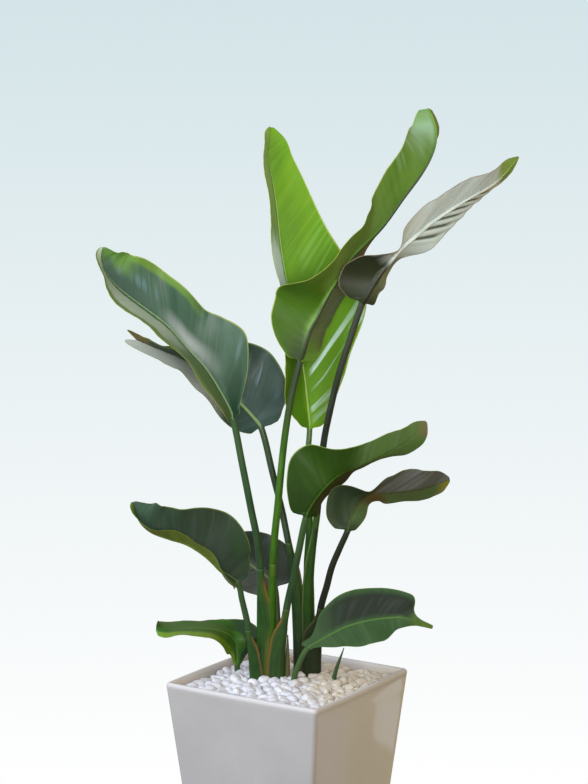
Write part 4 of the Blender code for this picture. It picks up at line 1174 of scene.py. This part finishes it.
def toned_band(s, colour, at, streak, low, high, inner, outer, soft, paint, strength=None):
    """Paints one stretch of the blade, given in percent, with soft wavering edges, and broken
    into streaks along the veins where it has a strength."""
    place, across = at
    inside = s.within(place, low / 100, high / 100, soft / 100)
    amount = s.times(inside, s.within(across, inner / 100, outer / 100, soft / 100))
    if strength:
        amount = s.times(amount, s.ramp(streak, 0.48, 0.63, 0.0, strength))
    return s.mix(amount, colour, paint)


def shaded_groove_mask(s, leaf, length, across):
    """Where the folds along the veins are deepest: the mask for painted shade in their valleys."""
    folded, start, end, count, height = leaf["ridges"]
    place = s.times(length, 1 / (leaf["reach"] * MM))
    cycles = s.times(s.math("SUBTRACT", place, start), count / (end - start))
    wave = s.math("SINE", s.times(cycles, math.tau))
    inside = s.times(s.ramp(cycles, 0.0, 0.2), s.ramp(cycles, count, count - 0.2))
    apart = s.times(across, folded)
    wide = s.times(s.ramp(apart, 0.02, 0.12), s.ramp(apart, 0.95, 0.6))
    return s.times(s.times(s.ramp(wave, 0.1, -0.95), inside), wide)


def stem_material(name, tones, neck=None):
    """Smooth stalk with fine lines along it, which turns to another tone towards the blade."""
    s = Shade(name)
    length, distance = s.uv("veins")
    place, across = s.uv("share")
    lines = s.grain(length, 6, across, 9, 1.0, 3.0)
    cloud = s.grain(length, 22, across, 1, 4.0, 2.0)
    colour = s.mix(s.ramp(s.weighed(lines, 0.5, cloud, 0.5), 0.35, 0.65), *tones)
    colour = s.mix(s.ramp(place, -0.55, -0.05), colour, neck or tones[1])
    return s.finish(
        Base_Color=colour, Roughness=s.ramp(cloud, 0.3, 0.7, 0.36, 0.48),
        Normal=s.bump(lines, 0.0005, 0.5), Coat_Weight=0.1, Coat_Roughness=0.25,
        Specular_IOR_Level=0.25,
    )


def sheath_material(name, look, tones, top):
    """Green sheath with fine lines along it, a toned margin and a foot that turns darker towards the
    root.
    """
    s = Shade(name)
    length, distance = s.uv("veins")
    place, margin = s.uv("share")
    cloud = s.grain(length, 25, distance, 60, 7.0, 2.0)
    lines = s.grain(length, 7, distance, 420, 2.0, 3.0)
    tone = s.weighed(lines, 0.45, cloud, 0.55)
    colour = s.mix(s.ramp(tone, 0.32, 0.68), *tones)
    ragged = s.math("ADD", margin, s.sway(cloud, 0.003))
    trim = look["trim"]
    colour = s.mix(s.ramp(ragged, 0.0046 * trim, 0.0012 * trim), colour, look["tan"])
    colour = s.mix(s.ramp(ragged, 0.0016 * trim, 0.0003 * trim), colour, look["edge"])
    colour = s.mix(s.ramp(place, 0.84, 0.99), colour, s.mix(s.ramp(tone, 0.35, 0.65), *top))
    colour = s.mix(s.times(s.ramp(place, 0.55, 0.05), 0.7), colour, look["foot"])
    if look["glow"]:
        side = s.times(s.ramp(ragged, 0.020, 0.008), s.ramp(place, 0.62, 0.40))
        colour = s.mix(s.times(side, 0.85), colour, look["glow"])
    return s.finish(
        Base_Color=colour, Roughness=s.ramp(tone, 0.3, 0.7, 0.40, 0.54),
        Normal=s.bump(lines, 0.0008, 0.7), Coat_Weight=0.03, Coat_Roughness=0.3,
        Specular_IOR_Level=0.2,
    )


def outer_half(z):
    """Half the pot's side at a height."""
    return (POT_BASE_SIDE + (POT_TOP_SIDE - POT_BASE_SIDE) * z / POT_HEIGHT) / 2


def fill_half(z):
    """Half the side of the pot's hollow at a height."""
    return outer_half(z) - POT_WALL


def square_ring(half_side, z, corner):
    """Points round a square with rounded corners and sides that bow out a little."""
    points = []
    for quarter in range(4):
        turn = Matrix.Rotation(math.radians(90 * quarter), 3, "Z")
        for i in range(-6, 7):
            x = i / 7
            bowed = half_side + POT_SIDE_BOW * (1 - x * x)
            points.append(turn @ Vector((bowed, x * (half_side - corner), z)))
        for step in range(11):
            a = math.radians(90 * step / 10)
            x = half_side - corner + corner * math.cos(a)
            y = half_side - corner + corner * math.sin(a)
            points.append(turn @ Vector((x, y, z)))
    return points


def pot_profile():
    """Half widths, heights and corner radii up the outside, over the rim and down the inside."""
    rows = []
    for i in range(5):
        a = math.radians(90) * i / 4
        foot = outer_half(0) - POT_FOOT_ROUND + POT_FOOT_ROUND * math.sin(a)
        rows.append((foot, POT_FOOT_ROUND - POT_FOOT_ROUND * math.cos(a)))
    for i in range(1, 12):
        z = POT_FOOT_ROUND + (POT_SIDE_END - POT_FOOT_ROUND) * i / 11
        rows.append((outer_half(z), z))
    middle = outer_half(POT_HEIGHT) - POT_WALL / 2
    for i in range(13):
        a = math.pi * i / 12
        out = math.copysign(abs(math.cos(a)) ** 0.8, math.cos(a))
        z = POT_HEIGHT - RIM_ROUND + RIM_ROUND * math.sin(a) ** 0.8
        rows.append((middle + (POT_WALL / 2 - 0.0004) * out, z))
    outside = len(rows) - 6
    rows += [(fill_half(z), z) for z in (0.32, 0.29, 0.24, 0.18, 0.12, 0.06)]
    rows += [(fill_half(POT_FLOOR) - 0.002, POT_FLOOR + 0.002)]
    rows += [(fill_half(POT_FLOOR) - 0.006, POT_FLOOR)]
    corners = [POT_CORNER] * outside + [POT_INNER_CORNER] * (len(rows) - outside)
    return [(*row, corner) for row, corner in zip(rows, corners)]


def glaze_material():
    """White glaze: a glossy coat over a body with faint pinholes and drifts, and a duller rim. The rim is
    painted paler as a highlight, and the inside wall warmer with light bounced from the stones.
    """
    s = Shade("white_glaze_finish")
    place = s.place()
    x, y, z = s.split(place)
    cloud = s.noise(place, 9, 3)
    orange_peel = s.noise(place, 260, 2)
    speck = s.noise(place, 900, 1)
    colour = s.mix(s.ramp(cloud, 0.3, 0.7), GLAZE_DARK, GLAZE_LIGHT)
    colour = s.mix(s.times(s.ramp(speck, 0.74, 0.80), 0.25), colour, GLAZE_SPECK)
    out = s.math("MAXIMUM", s.math("ABSOLUTE", x), s.math("ABSOLUTE", y))
    slope = (POT_TOP_SIDE - POT_BASE_SIDE) / POT_HEIGHT / 2
    depth = s.math("SUBTRACT", s.math("ADD", s.times(z, slope), POT_BASE_SIDE / 2), out)
    # painted highlight: the rim turns paler and bluish
    colour = s.mix(s.ramp(z, 0.330, 0.336), colour, GLAZE_RIM_HIGHLIGHT)
    # painted light: the inside wall turns warm, as light bounced from the stones would make it
    colour = s.mix(s.ramp(depth, POT_WALL * 0.6, POT_WALL * 0.9), colour, GLAZE_INSIDE_BOUNCE_LIGHT)
    duller = s.ramp(z, *GLAZE_DULLS, 0.0, 0.35)
    height = s.weighed(cloud, 0.3, orange_peel, 0.05)
    return s.finish(
        Base_Color=colour, Roughness=s.math("ADD", s.ramp(cloud, 0.3, 0.7, 0.20, 0.28), duller),
        Normal=s.bump(height, 0.0008, 0.5), Coat_Weight=s.ramp(z, *GLAZE_DULLS, 1.0, 0.1),
        Coat_Roughness=0.04,
    )


def add_pot():
    rings = [square_ring(*row) for row in pot_profile()]
    bm = bmesh.new()
    grid = [[bm.verts.new(p) for p in ring] for ring in rings]
    for a, b in zip(grid, grid[1:]):
        for i in range(len(a)):
            j = (i + 1) % len(a)
            bm.faces.new((a[i], a[j], b[j], b[i]))
    bm.faces.new(grid[0][::-1])
    bm.faces.new(grid[-1])
    bmesh.ops.recalc_face_normals(bm, faces=bm.faces)
    mesh = smooth_mesh_of(bm, "pot_body")
    stand("pot_body", mesh, [glaze_material()], ["pot"], turned=False)


def pebble_places(rng):
    """Stone centres on a jittered grid that stays clear of the pot's wall."""
    reach = fill_half(STONE_BED_TOP) - STONE_RADIUS - STONE_CLEARANCE
    count = int(2 * reach / STONE_SPACING) + 1
    places = []
    for i in range(count):
        for j in range(count):
            x = -reach + 2 * reach * i / (count - 1) + rng.uniform(-STONE_JITTER, STONE_JITTER)
            y = -reach + 2 * reach * j / (count - 1) + rng.uniform(-STONE_JITTER, STONE_JITTER)
            x = max(-reach, min(reach, x))
            y = max(-reach, min(reach, y))
            mound = 0.003 * max(0.0, 1 - (x * x + y * y) / reach ** 2)
            places.append((x, y, STONE_BED_TOP + mound + rng.uniform(-0.003, 0.002)))
    return places


def stem_places():
    """Where each stalk or sheath comes out of the stones, in the pot's frame, with its radius."""
    lines = [(leaf["line"], 0.011 if "crown" in leaf else 0.007) for leaf in LEAVES.values()]
    lines.append((smooth_line(SHOOT["line"]), 0.006))
    found = []
    for line, radius in lines:
        at = min(line, key=lambda p: abs(p.z - STONE_BED_TOP / MM - 6))
        found.append((PLANT_TURN @ (at * MM), radius))
    return found


def add_stone(bm, place, rng, sizes, stems=()):
    """A rounded stone with a few worn flats, pushed clear of the stems."""
    size = STONE_RADIUS * rng.choice(sizes)
    shape = Matrix.Diagonal((size, size * rng.uniform(0.66, 0.95), size * rng.uniform(0.6, 0.82)))
    turn = Matrix.Rotation(rng.uniform(0, math.tau), 3, "Z")
    tip = Matrix.Rotation(rng.uniform(-0.35, 0.35), 3, "X")
    place = Vector(place)
    for at, radius in stems:
        away = Vector((place.x - at.x, place.y - at.y, 0))
        need = radius + size * 0.62
        if 0 < away.length < need:
            place = place + away.normalized() * (need - away.length)
    seed = place * 900
    flats = []
    for i in range(7):
        cut = Vector([rng.gauss(0, 1) for k in range(3)]).normalized()
        flats.append((cut, rng.uniform(0.62, 0.92)))
    for v in bmesh.ops.create_icosphere(bm, subdivisions=3, radius=1.0)["verts"]:
        p = v.co.copy()
        for cut, depth in flats:
            over = p.dot(cut) - depth
            if over > 0:
                p -= cut * over * 0.9
        lump = 1 + 0.14 * noise.noise(p * 1.1 + seed) + 0.07 * noise.noise(p * 2.6 + seed)
        v.co = turn @ (tip @ (shape @ (p * lump * 1.08))) + place


def add_pebbles():
    """The stones that show, and larger ones half a space aside and below that fill the gaps."""
    rng = random.Random(7)
    stems = stem_places()
    mat = stone_material()
    bm = bmesh.new()
    for place in pebble_places(rng):
        add_stone(bm, place, rng, (0.76, 0.86, 0.98, 1.08), stems)
    top = smooth_mesh_of(bm, "pebbles_top")
    stand("pebbles_top", top, [mat], ["pebble_bed"], turned=False)
    rng = random.Random(31)
    bm = bmesh.new()
    shift = STONE_SPACING / 2
    reach = fill_half(STONE_BED_TOP) - STONE_RADIUS
    for x, y, z in pebble_places(rng):
        x = max(-reach, min(reach, x + shift))
        y = max(-reach, min(reach, y - shift))
        add_stone(bm, (x, y, z - STONE_SINK), rng, UNDER_SIZES)
    add_stone(bm, GAP_STONE, rng, UNDER_SIZES)
    under = smooth_mesh_of(bm, "pebbles_under")
    stand("pebbles_under", under, [mat], [], turned=False)


def stone_material():
    """White marble stones with dusty hollows, painted creamier and darker on the right, as warm light
    from that side would make them.
    """
    s = Shade("pebble_finish")
    place = s.place()
    tone = s.noise(place, 60, 3)
    vein = s.noise(place, 170, 4, 0.6, 0.8)
    grit = s.noise(place, 1100, 2)
    colour = s.mix(s.ramp(tone, 0.35, 0.65), (680, 700, 790), (800, 815, 890))
    # painted light: the stones on the right side turn cream, as warm light from that side would make them
    painted_warm_side = s.math("ADD", s.towards(place, Vector((1.0, 0.25, 0.0))), s.sway(tone, 0.12))
    colour = s.mix(s.ramp(painted_warm_side, -0.03, 0.07), colour, (660, 610, 530))
    colour = s.mix(s.times(s.ramp(vein, 0.56, 0.70), 0.25), colour, (620, 570, 500))
    return s.finish(
        Base_Color=colour, Roughness=s.ramp(vein, 0.3, 0.7, 0.48, 0.66),
        Normal=s.bump(s.weighed(vein, 0.7, grit, 0.3), 0.0008, 0.6),
    )


def soil_material():
    s = Shade("soil_crumb")
    place = s.place()
    crumb = s.noise(place, 240, 4, 0.7)
    lump = s.noise(place, 60, 3)
    colour = s.mix(s.ramp(crumb, 0.35, 0.65), (18, 12, 8), (60, 42, 28))
    colour = s.mix(s.times(s.ramp(lump, 0.6, 0.7), 0.5), colour, (100, 75, 50))
    height = s.math("ADD", crumb, lump)
    return s.finish(Base_Color=colour, Roughness=0.95, Normal=s.bump(height, 0.003))


def dress_soil():
    soil = bpy.data.objects["potting_soil"].data
    soil.materials.clear()
    soil.materials.append(soil_material())


def add_plant():
    for number, (name, leaf) in enumerate(LEAVES.items()):
        leaf["seed"] = 11.3 * number + 2.0
        leaf["rise"] = LOOKS[name]["rise"]
        add_leaf(name, leaf, LOOKS[name])
    for name, slot in FAN_SLOTS.items():
        add_crown(name)
    add_shoot()


def add_floor():
    """A wide pale floor that fades into the backdrop with distance."""
    mesh = bpy.data.meshes.new("floor")
    turns = [math.tau * i / 64 for i in range(64)]
    corners = [(FLOOR_RADIUS * math.cos(a), FLOOR_RADIUS * math.sin(a), 0) for a in turns]
    mesh.from_pydata(corners, [], [tuple(range(64))])
    s = Shade("pale_floor")
    s.finish(Base_Color=FLOOR_COLOUR, Roughness=0.9, Specular_IOR_Level=0.0)
    away = s.node("VectorMath", {0: s.place()}, operation="LENGTH")["Value"]
    clear = s.node("BsdfTransparent", {})[0]
    blend = s.node("MixShader", {0: s.ramp(away, 0.17, 0.46), 1: s.shader.outputs[0], 2: clear})
    s.put(blend[0], s.tree.nodes["Material Output"].inputs["Surface"])
    mesh.materials.append(s.mat)
    ob = add_object("floor", mesh)


def add_light(name, place, size, power, colour, spread):
    data = bpy.data.lights.new(name, "AREA")
    data.spread = math.radians(spread)
    data.shape = "RECTANGLE"
    data.size, data.size_y = size
    data.energy = power
    data.color = colour
    ob = add_object(name, data)
    ob.location = PLANT_TURN @ Vector(place)
    ob.rotation_mode = "QUATERNION"
    aim = PLANT_TURN @ Vector(LIGHT_AIM)
    ob.rotation_quaternion = (aim - ob.location).to_track_quat("-Z", "Y")


def add_world():
    """A backdrop from white below to pale blue above, and a room that lights the plant: cool and
    bright to the upper left, warm and dim to the right, with a glow, a pale patch and a corner
    low down there that the glaze mirrors."""
    world = bpy.data.worlds.new("studio")
    bpy.context.scene.world = world
    world.use_nodes = True
    s = Shade("studio", world.node_tree)
    way = s.node("TexCoord", {})["Generated"]
    z = s.split(way)[2]
    shown = s.mix(s.ramp(z, *BACKDROP_HEIGHTS, kind="LINEAR"), BACKDROP_WHITE, BACKDROP_BLUE)
    room = s.mix(s.ramp(s.towards(way, COOL_WAY), -0.55, 0.85), ROOM_WARM, ROOM_COOL)
    level = s.times(s.ramp(z, -0.35, 0.15, ROOM_LOW, 1.0), s.ramp(z, 0.45, 1.0, 1.0, ROOM_TOP))
    room = s.mix(1.0, room, s.vector(level, level, level), "MULTIPLY")
    room = s.mix(s.ramp(s.towards(way, GLOW_WAY), 0.94, 0.985), room, ROOM_GLOW)
    stretched = s.node("VectorMath", {0: way, 1: PATCH_GRAIN}, operation="MULTIPLY")["Vector"]
    height = s.math("ADD", z, s.sway(s.noise(stretched, 1.0, 3.0), 0.03))
    patch = s.times(s.ramp(height, -0.386, -0.384), s.ramp(z, -0.360, -0.368))
    patch = s.times(patch, s.ramp(s.towards(way, PATCH_WAY), 0.9990, 0.9993))
    room = s.mix(patch, room, ROOM_PATCH)
    corner = s.ramp(s.towards(way, CORNER_WAY), 0.9965, 0.9995)
    room = s.mix(s.times(corner, 0.5), room, ROOM_CORNER)
    seen = s.node("LightPath", {})["Is Camera Ray"]
    s.put(s.mix(seen, room, shown), s.tree.nodes["Background"].inputs["Color"])


def add_camera():
    data = bpy.data.cameras.new("camera")
    data.lens = CAMERA_LENS
    data.sensor_width = CAMERA_SENSOR
    camera = add_object("camera", data)
    camera.location = CAMERA_PLACE
    camera.rotation_euler = (CAMERA_PITCH, 0, VIEW_TURN)
    bpy.context.scene.camera = camera


def main():
    bpy.context.scene.view_settings.view_transform = "Standard"
    add_camera()
    add_world()
    for light in LIGHTS:
        add_light(*light)
    add_floor()
    add_pot()
    dress_soil()
    add_pebbles()
    add_plant()


main()
